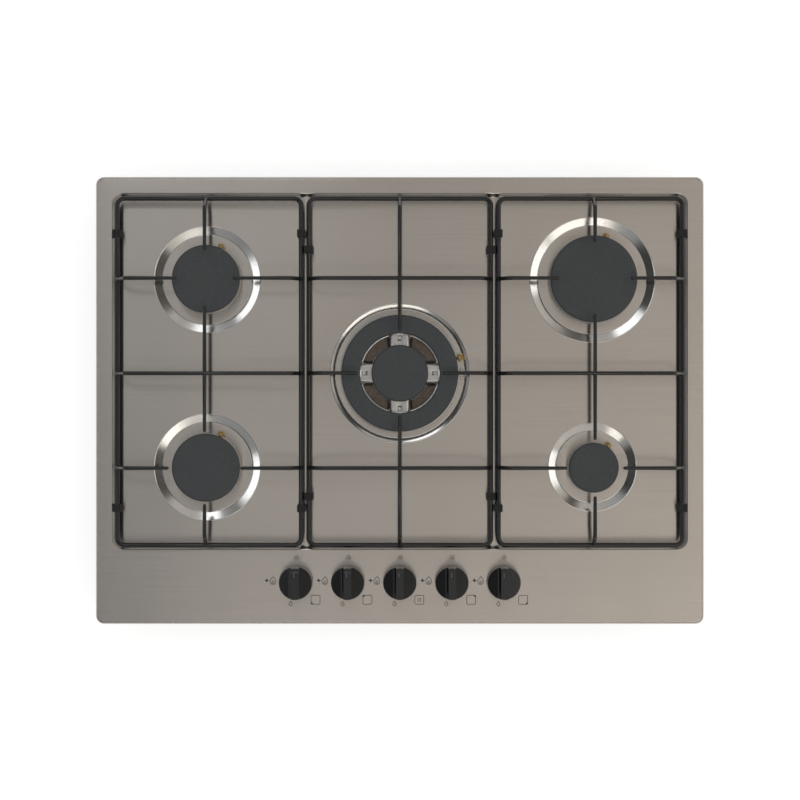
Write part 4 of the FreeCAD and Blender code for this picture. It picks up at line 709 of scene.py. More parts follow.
@dataclass
class TopPlate:
    """The pressed stainless sheet: rim, skirt, well, recesses and holes."""

    width: float = 680.0
    length: float = 500.0
    corner: float = 9.0
    edge_bend: float = 3.0
    lip_width: float = 14.0
    sheet: float = 0.8
    well_half: float = 320.0
    well_front: float = -165.0
    well_back: float = 230.0
    well_corner: float = 10.0
    well_bend: float = 2.0
    floor_bend: float = 2.5
    draft: float = 0.3
    knob_hole: float = 6.0
    sensor_hole: float = 3.55
    spark_hole: float = 3.8
    collar_gap: float = 0.3         # round the cups' collars
    painted_shade_radius: float = 55.0            # radius of the ring with painted shade under the middle burner

    def shell(self) -> list[Piece]:
        """Press the outer edge and the return lip."""
        half, reach = self.width / 2, self.length / 2
        low, high = (-half, -reach), (half, reach)
        foot = RIM - self.edge_bend
        edge = rounded_sheet("top_plate_sheet", low, high, foot, self.corner)
        with editing(edge):
            press(softened([(0, foot), (0, RIM), (self.edge_bend, RIM)], self.edge_bend, 5))
            bpy.ops.mesh.delete(type="ONLY_FACE")
            select_edges(edge, lambda a, b, faces: faces < 2 and abs(a.z - foot) < NEAR
                         and abs(b.z - foot) < NEAR)
            bpy.ops.mesh.extrude_region_move(
                TRANSFORM_OT_translate={"value": (0, 0, (LIP - foot) * MM)})
        lip = rounded_sheet("lip", low, high, LIP, self.corner)
        with editing(lip):
            press([(0, LIP), (self.lip_width, LIP)])
            bpy.ops.mesh.delete(type="ONLY_FACE")
        return [edge, lip]

    def well(self) -> Piece:
        """Press the well's wall between its two bends."""
        grow = self.well_bend
        half = self.well_half + grow
        wall = rounded_sheet("well", (-half, self.well_front - grow),
                             (half, self.well_back + grow), RIM, self.well_corner + grow)
        profile = [(0, RIM), (grow, RIM), (grow + self.draft, WELL),
                   (grow + self.draft + self.floor_bend, WELL)]
        with editing(wall):
            press(softened(profile, {1: self.well_bend, 2: self.floor_bend}))
            bpy.ops.mesh.delete(type="ONLY_FACE")
        return wall

    def recess(self, burner: BurnerPlace) -> Piece:
        """Press one burner's recess: a sloping side between two fine coined beads."""
        flat, low = 1.0, burner.floor
        edge = burner.cap + burner.recess_margin + flat
        side = disc("recess", burner.centre, edge, WELL, 120)
        foot = flat + burner.slope
        profile = [(0, WELL), (0.45, WELL + 0.14), (flat, WELL - 0.12), (foot - 0.6, low + 0.1),
                   (foot - 0.2, low - 0.08), (foot + 0.2, low), (foot + 0.6, low)]
        with editing(side):
            press(softened(profile, 0.7, 3))
            bpy.ops.mesh.delete(type="ONLY_FACE")
        return side

    def hole(self, centre: Point, radius: float, level: float, sides: int = 32) -> Piece:
        """Lay one hole's edge, round which the sheet is filled."""
        return disc("hole", centre, radius, level, sides, "NOTHING")

    def tinted_ring(self) -> Piece:
        """Lay the ring of sheet round the middle burner's collar hole, where shade is painted."""
        level = WOK.floor
        ring = disc("tinted_ring", WOK.centre, self.painted_shade_radius, level, 64)
        with editing(ring):
            press([(0, level), (self.painted_shade_radius - WOK.collar - self.collar_gap, level)])
            bpy.ops.mesh.delete(type="ONLY_FACE")
        return ring

    def holes(self) -> list[Piece]:
        """Lay the holes' edges for the knobs and the burners."""
        made = [self.hole(middle(f"knob_{i}"), self.knob_hole, RIM) for i in range(1, 6)]
        made.append(self.tinted_ring())
        for burner in ALL_BURNERS:
            level = burner.floor
            if burner is not WOK:
                hole = burner.collar + self.collar_gap
                made.append(self.hole(burner.centre, hole, level, 64))
            made.append(self.hole(polar(burner.centre, *burner.sensor), self.sensor_hole, level))
            made.append(self.hole(polar(burner.centre, *burner.spark), self.spark_hole, level))
        return made

    def fill(self, sheet: Piece, level: float) -> None:
        """Fill the flat sheet between all open edges at one level."""
        with editing(sheet):
            select_edges(sheet, lambda a, b, faces: faces < 2 and abs(a.z - level) < NEAR
                         and abs(b.z - level) < NEAR)
            bpy.ops.mesh.fill(use_beauty=True)

    def lay_grain(self, sheet: Piece) -> None:
        """Give the sheet a flat map whose U axis is the direction of brushing."""
        layer = sheet.data.uv_layers.new(name="grain")
        for loop in sheet.data.loops:
            spot = sheet.data.vertices[loop.vertex_index].co
            layer.data[loop.index].uv = ((spot.x + 0.3 * spot.z) * 4, (spot.y + 0.5 * spot.z) * 4)

    def burnish_and_paint_light(self, sheet: Piece) -> None:
        """Give the well's wall and the recesses' sides the burnished steel, paler for a painted
        highlight, and the ring under the middle burner its painted shade.
        """
        sheet.data.materials.append(BURNISHED_HIGHLIGHT_STEEL.material())
        sheet.data.materials.append(PAINTED_SHADE_STEEL.material())
        for face in sheet.data.polygons:
            spot = face.center / MM
            # Painted highlight: the paler burnished steel brightens the well's wall and the
            # recesses' sides.
            if (WELL + 0.1 < spot.z < RIM - 0.05 and abs(spot.x) < self.well_half + 2
                    and self.well_front - 2 < spot.y < self.well_back + 2):
                face.material_index = 1
            for burner in ALL_BURNERS:
                x, y = burner.centre
                edge = burner.cap + burner.recess_margin
                reach = math.hypot(spot.x - x, spot.y - y)
                if edge - burner.slope - 0.7 < reach < edge + 1.1 and spot.z > burner.floor - 2:
                    face.material_index = 1
                # Painted shade: the dark brown steel under the middle burner stands in for the
                # shade of its crown.
                elif burner is WOK and reach < self.painted_shade_radius - 4:
                    face.material_index = 2

    def build(self) -> None:
        """Make the plate."""
        recesses = [self.recess(burner) for burner in ALL_BURNERS]
        sheet = joined([*self.shell(), self.well(), *recesses, *self.holes()])
        with editing(sheet):
            bpy.ops.mesh.remove_doubles(threshold=0.005 * MM)
        for level in (RIM, WELL, *(burner.floor for burner in (BURNERS[0], WOK))):
            self.fill(sheet, level)
        with editing(sheet):
            bpy.ops.mesh.normals_make_consistent(inside=False)
        rim = max(sheet.data.polygons, key=lambda face: face.center.z)
        if rim.normal.z < 0:
            with editing(sheet):
                bpy.ops.mesh.flip_normals()
        modify(sheet, "SOLIDIFY", thickness=self.sheet * MM, offset=-1)
        finish(sheet, sharp=40)
        self.lay_grain(sheet)
        hand_over(sheet, CASING, BRUSHED_STEEL, "top_plate")
        self.burnish_and_paint_light(sheet)


# ---------------------------------------------------------------- burners


@dataclass
class DiscBurner:
    """A single-crown burner: ported crown and enamelled cap, notched for the sensor and the
    electrode.
    """

    place: BurnerPlace
    lip: float = 0.8
    lip_height: float = 3.5
    wall: float = 3.6
    port_height: float = 6.0
    cap_height: float = 7.0
    cap_edge: float = 2.4
    cap_foot: float = 0.8           # rounding of the cap's lower edge
    cap_fall: float = 0.3           # the cap's top slopes by this to its edge
    bore: float = 6.0
    throat: float = 8.5
    throat_depth: float = 7.0
    guide_wall: float = 2.0
    guide_depth: float = 3.0
    floor: float = 2.5              # thickness of the crown's floor
    locator_wall: float = 2.0
    locator_depth: float = 2.5
    locator_gap: float = 0.3
    spark_notch: float = 4.5
    sensor_notch: float = 4.4

    @property
    def bottom(self) -> float:
        """Level of the crown's underside."""
        return self.place.base

    def raise_teeth(self, crown: Piece, wall: float) -> None:
        """Raise two facets of three on the port wall, so every third is a gas port."""
        x, y = self.place.centre
        level = CAP_UNDERSIDE - self.port_height
        sides = self.place.ports * 3

        def is_tooth(spot: Vector, normal: Vector) -> bool:
            """Tell whether a top face of the wall stands between two ports."""
            reach = math.hypot(spot.x - x, spot.y - y)
            if normal.z < 0.9 or abs(spot.z - level) > 0.05 or not wall - 4 < reach < wall:
                return False
            turn = math.atan2(spot.y - y, spot.x - x) % math.tau
            return int(turn / math.tau * sides) % 3 != 0

        with editing(crown):
            select_faces(crown, is_tooth)
            rise = (self.port_height - 0.02) * MM
            bpy.ops.mesh.extrude_region_move(TRANSFORM_OT_translate={"value": (0, 0, rise)})

    def crown(self) -> Piece:
        """Cast the crown: throat, guide, lip, port wall and teeth."""
        bottom = self.bottom
        guide = self.place.collar - 2.8
        ports = CAP_UNDERSIDE - self.port_height
        wall = self.place.port_wall
        edge = self.place.cap + self.lip
        foot, step, floor = (bottom - self.throat_depth, bottom - self.guide_depth,
                             bottom + self.floor)
        shoulder, inside = guide - self.guide_wall, wall - self.wall
        profile = [(self.bore, foot), (self.throat, foot), (self.throat, bottom),
                   (shoulder, bottom), (shoulder, step), (guide, step), (guide, bottom),
                   (edge, bottom), (edge, bottom + self.lip_height), (wall, ports - 0.5),
                   (wall, ports), (inside, ports), (inside, floor), (self.bore, floor),
                   (self.bore, foot)]
        profile = softened(profile, {8: 0.9}, 3)
        crown = turned(f"crown_{self.place.name}_cast", self.place.centre, profile,
                       self.place.ports * 3, ring=True)
        with editing(crown):
            bpy.ops.mesh.normals_make_consistent(inside=False)
        self.raise_teeth(crown, wall)
        self.notch(crown)
        return finish(crown, 0.25, 2)

    def notch(self, crown: Piece) -> None:
        """Cut the notches that clear the electrode and the sensor."""
        for (reach, angle), radius in ((self.place.spark, self.spark_notch),
                                       (self.place.sensor, self.sensor_notch)):
            spot = polar(self.place.centre, reach, angle)
            combine(crown, post("notch", spot, radius, self.bottom - 1, CAP_UNDERSIDE + 1))

    def cap(self) -> Piece:
        """Press the enamelled cap with its locating ring below."""
        radius, low = self.place.cap, CAP_UNDERSIDE
        locator = self.place.port_wall - self.wall - self.locator_gap
        inside, foot = locator - self.locator_wall, low - self.locator_depth
        top = low + self.cap_height
        profile = [(inside, low), (inside, foot), (locator, foot), (locator, low),
                   (radius, low), (radius, top - self.cap_fall), (radius - 6, top - 0.05),
                   (radius * 0.5, top)]
        profile = softened(profile, {4: self.cap_foot, 5: self.cap_edge}, 5)
        cap = turned(f"cap_{self.place.name}_enamelled", self.place.centre, profile, 96)
        return finish(cap, sharp=40)

    def build(self) -> None:
        """Make the crown and the cap."""
        name = self.place.name
        hand_over(self.crown(), f"crown_{name}", BURNER_ALLOY, f"crown_{name}")
        hand_over(self.cap(), f"cap_{name}", CAP_ENAMEL, f"cap_{name}")


@dataclass
class TripleRingBurner(DiscBurner):
    """The middle burner: inner crown, four bridging arms, outer ring and two caps."""

    ring_outer: float = 65.0
    ring_inner: float = 44.3
    cover: float = 2.2              # how far the ring cap reaches past the walls
    outer_ports: int = 56
    arm_half: float = 10.0
    arm_top: float = 66.0
    arm_depth: float = 9.0
    arm_bevel: float = 2.4
    arm_flare: float = 1.38
    slot: Place = (6.0, 7.5, 3.5)
    skew: float = 0.0005            # turn, in radians, that keeps arms and facets apart

    def outer_ring(self) -> Piece:
        """Cast the outer ring: an upward channel with a lip inside and outside."""
        bottom, level = self.bottom, CAP_UNDERSIDE - self.port_height
        outer, inner = self.ring_outer - self.cover, self.ring_inner + self.cover
        lip_in, lip_out = self.ring_inner - self.lip, self.ring_outer + self.lip
        floor, lip_top, top = bottom + self.floor, bottom + self.lip_height, CAP_UNDERSIDE - 0.02
        profile = [(lip_in, bottom), (lip_out, bottom), (lip_out, lip_top),
                   (outer, level - 0.3), (outer, level), (outer - self.wall, level),
                   (outer - self.wall, floor), (inner + self.wall, floor),
                   (inner + self.wall, top), (inner, top), (inner, lip_top + 0.4),
                   (lip_in, lip_top), (lip_in, bottom)]
        ring = turned("outer_ring", self.place.centre, softened(profile, {2: 0.9, 11: 0.9}, 3),
                      self.outer_ports * 3, ring=True)
        with editing(ring):
            bpy.ops.mesh.normals_make_consistent(inside=False)
        wok = DiscBurner(BurnerPlace("wok", 65.0, (0, 0), (0, 0), self.outer_ports,
                                     base=self.place.base))
        wok.raise_teeth(ring, outer)
        return ring

    def arm(self) -> Piece:
        """Cast the bridging arm along +X, with its slot."""
        (x, y), (slot_width, slot_length, slot_depth) = self.place.centre, self.slot
        near, far = self.place.port_wall - 1.8, self.ring_inner + 4.0
        arm = block("arm", (x + near, y - self.arm_half, self.arm_top - self.arm_depth),
                    (x + far, y + self.arm_half, self.arm_top))
        top, foot = self.arm_top - 0.1, self.arm_top - self.arm_depth
        with editing(arm):
            select_faces(arm, lambda spot, normal: normal.z < -0.9)
            bpy.ops.transform.resize(value=(1, self.arm_flare, 1),
                                     center_override=(x * MM, y * MM, foot * MM))
            select_edges(arm, lambda a, b, faces: min(a.z, b.z) > top and abs(a.y - b.y) < 0.1)
            bpy.ops.mesh.bevel(offset=self.arm_bevel * MM, segments=4, affect="EDGES")
        end = self.ring_inner + self.cover - self.wall
        slot = block("slot", (x + end - slot_length, y - slot_width / 2,
                              self.arm_top - slot_depth),
                     (x + end, y + slot_width / 2, self.arm_top + 1))
        with editing(slot):
            select_faces(slot, lambda spot, normal: normal.z < -0.9)
            bpy.ops.transform.resize(value=(0.75, 0.65, 1),
                                     center_override=((x + end - slot_length / 2) * MM, y * MM, 0))
        combine(arm, slot)
        return arm

    def crown(self) -> Piece:
        """Cast the whole triple-ring crown in one."""
        inner = super().crown()
        x, y = self.place.centre
        outer, pattern = self.outer_ring(), self.arm()
        for turn in range(4):
            arm = copied(pattern, "arm", (0, 0, 0))
            with editing(arm):
                bpy.ops.transform.rotate(value=math.pi / 2 * turn + self.skew, orient_axis="Z",
                                         center_override=(x * MM, y * MM, 0))
            combine(outer, arm, "UNION")
        bpy.data.objects.remove(pattern)
        self.notch(outer)
        combine(inner, outer, "UNION")
        inner.name = inner.data.name = "crown_wok_cast"
        return finish(inner, 0.0)

    def ring_cap(self) -> Piece:
        """Press the enamelled ring cap with its locating ring below."""
        low, top = CAP_UNDERSIDE, CAP_UNDERSIDE + self.cap_height
        locator = self.ring_outer - self.cover - self.wall - self.locator_gap
        inside, foot = locator - self.locator_wall, low - self.locator_depth
        profile = [(inside, low), (inside, foot), (locator, foot), (locator, low),
                   (self.ring_outer, low), (self.ring_outer, top),
                   (self.ring_inner, top), (self.ring_inner, low), (inside, low)]
        profile = softened(profile, {4: self.cap_foot, 5: self.cap_edge, 6: self.cap_edge,
                                     7: self.cap_foot}, 5)
        ring = turned("cap_wok_ring_enamelled", self.place.centre, profile, 128, ring=True)
        return finish(ring, sharp=40)

    def build(self) -> None:
        """Make the crown and both caps."""
        super().build()
        hand_over(self.ring_cap(), "cap_wok_ring", CAP_ENAMEL, "cap_wok_ring")


@dataclass
class FlameWatch:
    """The sensors' brass sleeves and pale tips, and the spark electrodes."""

    bush: float = 3.5
    flange: float = 4.1
    tip_top: float = 64.0
    ceramic: float = 3.3
    ceramic_top: float = 61.0
    pin: float = 0.8
    pin_top: float = 64.5
    stem_bottom: float = 34.0

    def sleeve(self, burner: BurnerPlace) -> Piece:
        """Turn the brass sleeve over one sensor's bush."""
        top = burner.base + 2.0
        profile = [(2.3, top - 5.9), (self.bush + 0.02, top - 5.9), (self.bush + 0.02, top - 1),
                   (self.flange, top - 1), (self.flange, top + 0.6), (self.flange - 0.5, top + 1),
                   (2.8, top + 1.0), (2.8, top), (2.3, top), (2.3, top - 5.9)]
        spot = polar(burner.centre, *burner.sensor)
        return finish(turned("sleeve", spot, profile, 32, ring=True), 0.2)

    def tip(self, burner: BurnerPlace) -> Piece:
        """Turn the pale domed end over one sensor's tip."""
        low, top = burner.base + 3.2, self.tip_top + 0.1
        profile = [(2.25, low), (2.25, top), (0.2, top)]
        spot = polar(burner.centre, *burner.sensor)
        return finish(turned("tip", spot, softened(profile, 1.9, 6), 32), sharp=60)

    def electrode(self, burner: BurnerPlace) -> Piece:
        """Turn one ceramic body with its two glaze beads."""
        low, top, wide = self.stem_bottom, self.ceramic_top, self.ceramic
        profile = [(wide - 0.4, low), (wide, low + 1), (wide, top - 3.4), (wide - 0.35, top - 3),
                   (wide - 0.35, top - 2.4), (wide, top - 2), (wide, top), (0.9, top)]
        spot = polar(burner.centre, *burner.spark)
        return finish(turned("electrode", spot, softened(profile, {2: .2, 5: .2, 6: 1.0}, 4), 32),
                      sharp=60)

    def needle(self, burner: BurnerPlace) -> Piece:
        """Turn one steel pin with its pointed end."""
        profile = [(self.pin, self.ceramic_top - 0.5), (self.pin, self.pin_top - 0.8),
                   (self.pin * 0.4, self.pin_top)]
        return finish(turned("needle", polar(burner.centre, *burner.spark), profile, 16))

    def build(self) -> None:
        """Make the sets, each as one piece on the casing."""
        sets = (("sensor_sleeves", self.sleeve, BRASS), ("sensor_tips", self.tip, SENSOR_METAL),
                ("electrode_bodies", self.electrode, CERAMIC, "spark_electrodes"),
                ("electrode_pins", self.needle, TURNED_STEEL))
        for name, make, set_finish, *nodes in sets:
            pieces = joined([make(burner) for burner in ALL_BURNERS])
            pieces.name = name
            hand_over(pieces, CASING, set_finish, *nodes)


# ---------------------------------------------------------------- pan supports


@dataclass
class PanSupport:
    """One support of welded wire, from two frame axes and its rows of fingers.

    fingers holds, for each finger, its root on the frame and its tip.
    bars holds, for each full bar, its two roots on the frame.
    """

    name: str
    low: Point
    high: Point
    fingers: Sequence[tuple[Point, Point]]
    bars: Sequence[tuple[Point, Point]]
    rods: Sequence[tuple[Point, Point]]
    feet: Sequence[Point]
    frame_wire: float = 2.75
    finger_wire: float = 2.25
    frame_level: float = 69.5
    finger_level: float = 85.5
    corner: float = 8.0
    rise_run: float = 11.0
    finger_bend: float = 7.0
    weld_radius: float = 3.05
    weld_shift: Point = (1.1, 1.2)      # along the finger and up, from the frame wire's axis
    foot_size: Place = (9.0, 8.0, 19.0)
    foot_ribs: Point = (58.0, 61.5)     # levels of the grooves between the ribs
    foot_rib: Point = (0.5, 1.2)        # depth and height of a groove

    def frame_wires(self) -> Piece:
        """Bend the closed frame wire."""
        (x0, y0), (x1, y1), z = self.low, self.high, self.frame_level
        start = ((x0 + x1) / 2, y1, z)
        route = [start, (x1, y1, z), (x1, y0, z), (x0, y0, z), (x0, y1, z), start]
        return wire("frame", route, self.frame_wire, self.corner, closed=True)

    def shoulder(self, root: Point, towards: Point) -> Place:
        """Find where a wire that rises from its root turns level."""
        along = (Vector(towards) - Vector(root)).normalized() * self.rise_run
        return root[0] + along.x, root[1] + along.y, self.finger_level

    def weld(self, root: Point, towards: Point) -> Piece:
        """Lay the weld bead where a finger leaves the frame wire."""
        shift, rise = self.weld_shift
        along = (Vector(towards) - Vector(root)).normalized() * shift
        deselect()
        bpy.ops.mesh.primitive_uv_sphere_add(
            segments=16, ring_count=8, radius=self.weld_radius * MM,
            location=((root[0] + along.x) * MM, (root[1] + along.y) * MM,
                      (self.frame_level + rise) * MM))
        return started("weld")

    def risen(self, start: Point, end: Point) -> Piece:
        """Bend a bar that rises from one frame wire and drops to the other."""
        route = [(*start, self.frame_level), self.shoulder(start, end),
                 self.shoulder(end, start), (*end, self.frame_level)]
        return wire("bar", route, self.finger_wire, self.finger_bend)

    def finger(self, root: Point, tip: Point) -> Piece:
        """Bend a finger that rises from the frame and ends blunt."""
        route = [(*root, self.frame_level), self.shoulder(root, tip), (*tip, self.finger_level)]
        return wire("finger", route, self.finger_wire, self.finger_bend, blunt=True)

    def rod(self, start: Point, end: Point) -> list[Piece]:
        """Cut a level rod with two blunt ends, as two halves from its middle."""
        half = ((start[0] + end[0]) / 2, (start[1] + end[1]) / 2, self.finger_level)
        return [wire("rod", [half, (*tip, self.finger_level)], self.finger_wire,
                     self.finger_bend, blunt=True) for tip in (start, end)]

    def layers(self) -> list[list[Piece]]:
        """Bend all wires, in layers of pieces that don't touch one another."""
        welds = [self.weld(root, tip) for root, tip in self.fingers]
        for start, end in self.bars:
            welds += [self.weld(start, end), self.weld(end, start)]
        layers = [[self.finger(*ends) for ends in self.fingers],
                  [self.risen(*ends) for ends in self.bars], welds]
        for ends in self.rods:
            layers += [[half] for half in self.rod(*ends)]
        return layers

    def foot(self) -> Piece:
        """Mould one rubber foot round the frame wire at the plan's origin."""
        half_width, half_length, height = (self.foot_size[0] / 2, self.foot_size[1] / 2,
                                           self.foot_size[2])
        depth, rise = self.foot_rib
        foot = block("foot", (-half_width, -half_length, WELL),
                     (half_width, half_length, WELL + height))
        deselect()
        bpy.ops.mesh.primitive_cylinder_add(
            vertices=32, radius=(self.frame_wire + 0.03) * MM, depth=30 * MM,
            location=(0, 0, self.frame_level * MM), rotation=(math.pi / 2, 0, 0))
        combine(foot, started("groove"))
        for side in (-1, 1):
            x0, x1 = sorted((side * half_width * 1.1, side * (half_width - depth)))
            for level in self.foot_ribs:
                combine(foot, block("rib", (x0, -5, level), (x1, 5, level + rise)))
        return finish(foot, 0.7, 3, sharp=40)

    def build(self) -> None:
        """Make the support and its feet."""
        grid = self.frame_wires()
        for layer in self.layers():
            combine(grid, joined(layer), "UNION")
        grid.name = grid.data.name = f"{self.name}_wires"
        finish(grid, sharp=40)
        hand_over(grid, self.name, SUPPORT_ENAMEL, self.name)
        pattern = self.foot()
        feet = [copied(pattern, "foot", (x, y, 0)) for x, y in self.feet]
        bpy.data.objects.remove(pattern)
        blocks = joined(feet)
        blocks.name = f"{self.name}_feet"
        hand_over(blocks, self.name, RUBBER, self.name.replace("pan_support", "support_feet"))


# the supports' rows and columns, from the plate's middle
SUPPORT_FRONT, SUPPORT_BACK = -161.0, 224.7
NEAR_ROW, BAR_ROW, REAR_ROW = -74.8, 30.0, 135.2
SIDE_INNER, SIDE_COLUMN, SIDE_OUTER = 109.7, 215.7, 314.6
CENTRE_HALF = 101.3
SIDE_FEET, CENTRE_FEET = (186.0, -120.0), (168.0, -107.0)
SMALL_OPENING, LARGE_OPENING, WOK_OPENING = 31.0, 39.5, 46.5


def side_support(side: int) -> PanSupport:
    """Lay out the left (-1) or right (+1) support."""
    column = side * SIDE_COLUMN
    x0, x1 = sorted((side * SIDE_INNER, side * SIDE_OUTER))
    openings = (SMALL_OPENING, LARGE_OPENING)
    rear, near = openings if side < 0 else openings[::-1]
    fingers = [((column, SUPPORT_BACK), (column, REAR_ROW + rear)),
               ((column, SUPPORT_FRONT), (column, NEAR_ROW - near))]
    for row, opening in ((REAR_ROW, rear), (NEAR_ROW, near)):
        fingers += [((x0, row), (column - opening, row)), ((x1, row), (column + opening, row))]
    rods = [((column, NEAR_ROW + near), (column, REAR_ROW - rear))]
    feet = [(x, y) for x in (x0, x1) for y in SIDE_FEET]
    name = "pan_support_left" if side < 0 else "pan_support_right"
    return PanSupport(name, (x0, SUPPORT_FRONT), (x1, SUPPORT_BACK), fingers,
                      [((x0, BAR_ROW), (x1, BAR_ROW))], rods, feet)


def centre_support() -> PanSupport:
    """Lay out the middle support."""
    x0, x1, row = -CENTRE_HALF, CENTRE_HALF, WOK.centre[1]
    fingers = [((x0, row), (-WOK_OPENING, row)), ((x1, row), (WOK_OPENING, row)),
               ((0, SUPPORT_BACK), (0, row + WOK_OPENING)),
               ((0, SUPPORT_FRONT), (0, row - WOK_OPENING))]
    bars = [((x0, y), (x1, y)) for y in (REAR_ROW, NEAR_ROW)]
    feet = [(x, y) for x in (x0, x1) for y in CENTRE_FEET]
    return PanSupport("pan_support_centre", (x0, SUPPORT_FRONT), (x1, SUPPORT_BACK), fingers,
                      bars, [], feet)


# ---------------------------------------------------------------- knobs and marks


@dataclass
class Knobs:
    """Five moulded knobs with a grip bar between two scoops, and their pointers."""

    base: float = 19.0
    top: float = 17.2
    bottom_level: float = 65.3
    height: float = 23.2
    grip_half: float = 4.2
    scoop_depth: float = 13.0
    scoop_bend: float = 3.5
    scoop_reach: float = 30.0       # from the knob's axis, past its side
    scoop_fall: float = 5.0         # how far its floor falls outward
    rear_slope: Point = (0.5, 0.86)     # the direction that the cut rear end faces
    rear_row: float = 14.2          # where that cut leaves the top
    pointer_line: tuple[float, ...] = (-1.2, 7.5, -0.5, 12.0)   # its two corners
    pointer_film: float = 0.04
    rim_wall: float = 2.2
    hub_foot: float = 2.2
    inner_floor: float = 5.2
    hub: float = 7.0
    bore: float = 4.05
    bore_depth: float = 15.0

    def body(self, centre: Point) -> Piece:
        """Mould one knob, hollow below with a hub for the spindle."""
        low, high = self.bottom_level, self.bottom_level + self.height
        foot, floor, inside = low + self.hub_foot, low + self.inner_floor, self.base - self.rim_wall
        profile = [(self.bore, low + self.bore_depth), (self.bore, foot), (self.hub, foot),
                   (self.hub, floor), (inside, floor), (inside, low), (self.base, low),
                   (self.top, high), (self.top * 0.6, high)]
        knob = turned("knob", centre, softened(profile, {6: 0.5}, 3), 96)
        x, y = centre
        for side in (-1, 1):
            inner, floor = x + side * self.grip_half, high - self.scoop_depth
            reach = self.scoop_reach
            x0, x1 = sorted((inner, x + side * reach))
            scoop = block("scoop", (x0, y - reach, floor), (x1, y + reach, high + 5))
            with editing(scoop):
                select_vertices(scoop, lambda spot: spot.z < floor + 0.1
                                and abs(spot.x - inner) > 20)
                bpy.ops.transform.translate(value=(0, 0, -self.scoop_fall * MM))
                select_edges(scoop, lambda a, b, faces: max(a.z, b.z) < floor + 0.1
                             and max(abs(a.x - inner), abs(b.x - inner)) < 0.1)
                bpy.ops.mesh.bevel(offset=self.scoop_bend * MM, segments=8, affect="EDGES")
            combine(knob, scoop)
        with editing(knob):
            bpy.ops.mesh.bisect(plane_co=(x * MM, (y + self.rear_row) * MM, high * MM),
                                plane_no=(0, *self.rear_slope), use_fill=True, clear_outer=True)
        return finish(knob, 1.1, 4, sharp=34)

    def pointer(self, centre: Point) -> Piece:
        """Print the pale pointer line on the grip near its rear end."""
        (x, y), (x0, y0, x1, y1) = centre, self.pointer_line
        top, film = self.bottom_level + self.height, self.pointer_film * MM
        line = rounded_sheet("pointer", (x + x0, y + y0), (x + x1, y + y1), top, 0.3)
        with editing(line):
            bpy.ops.transform.translate(value=(0, 0, -film))
            bpy.ops.mesh.extrude_region_move(TRANSFORM_OT_translate={"value": (0, 0, film)})
        return finish(line)

    def build(self) -> None:
        """Model one knob and copy it to all five spindles."""
        first = middle("knob_1")
        knob, pointer = self.body(first), self.pointer(first)
        for order in range(1, 6):
            x, y = middle(f"knob_{order}")
            move = (x - first[0], y - first[1], 0)
            hand_over(copied(knob, f"knob_{order}_body", move), f"knob_{order}", KNOB_PLASTIC,
                      f"knob_{order}")
            hand_over(copied(pointer, f"knob_{order}_pointer", move), f"knob_{order}",
                      POINTER_INK)
        bpy.data.objects.remove(knob)
        bpy.data.objects.remove(pointer)


class Corner(Enum):
    """The thick corner of a burner mark: its direction in plan."""

    FRONT_LEFT = (-1, -1)
    REAR_LEFT = (-1, 1)
    MIDDLE = (0, 0)
    REAR_RIGHT = (1, 1)
    FRONT_RIGHT = (1, -1)


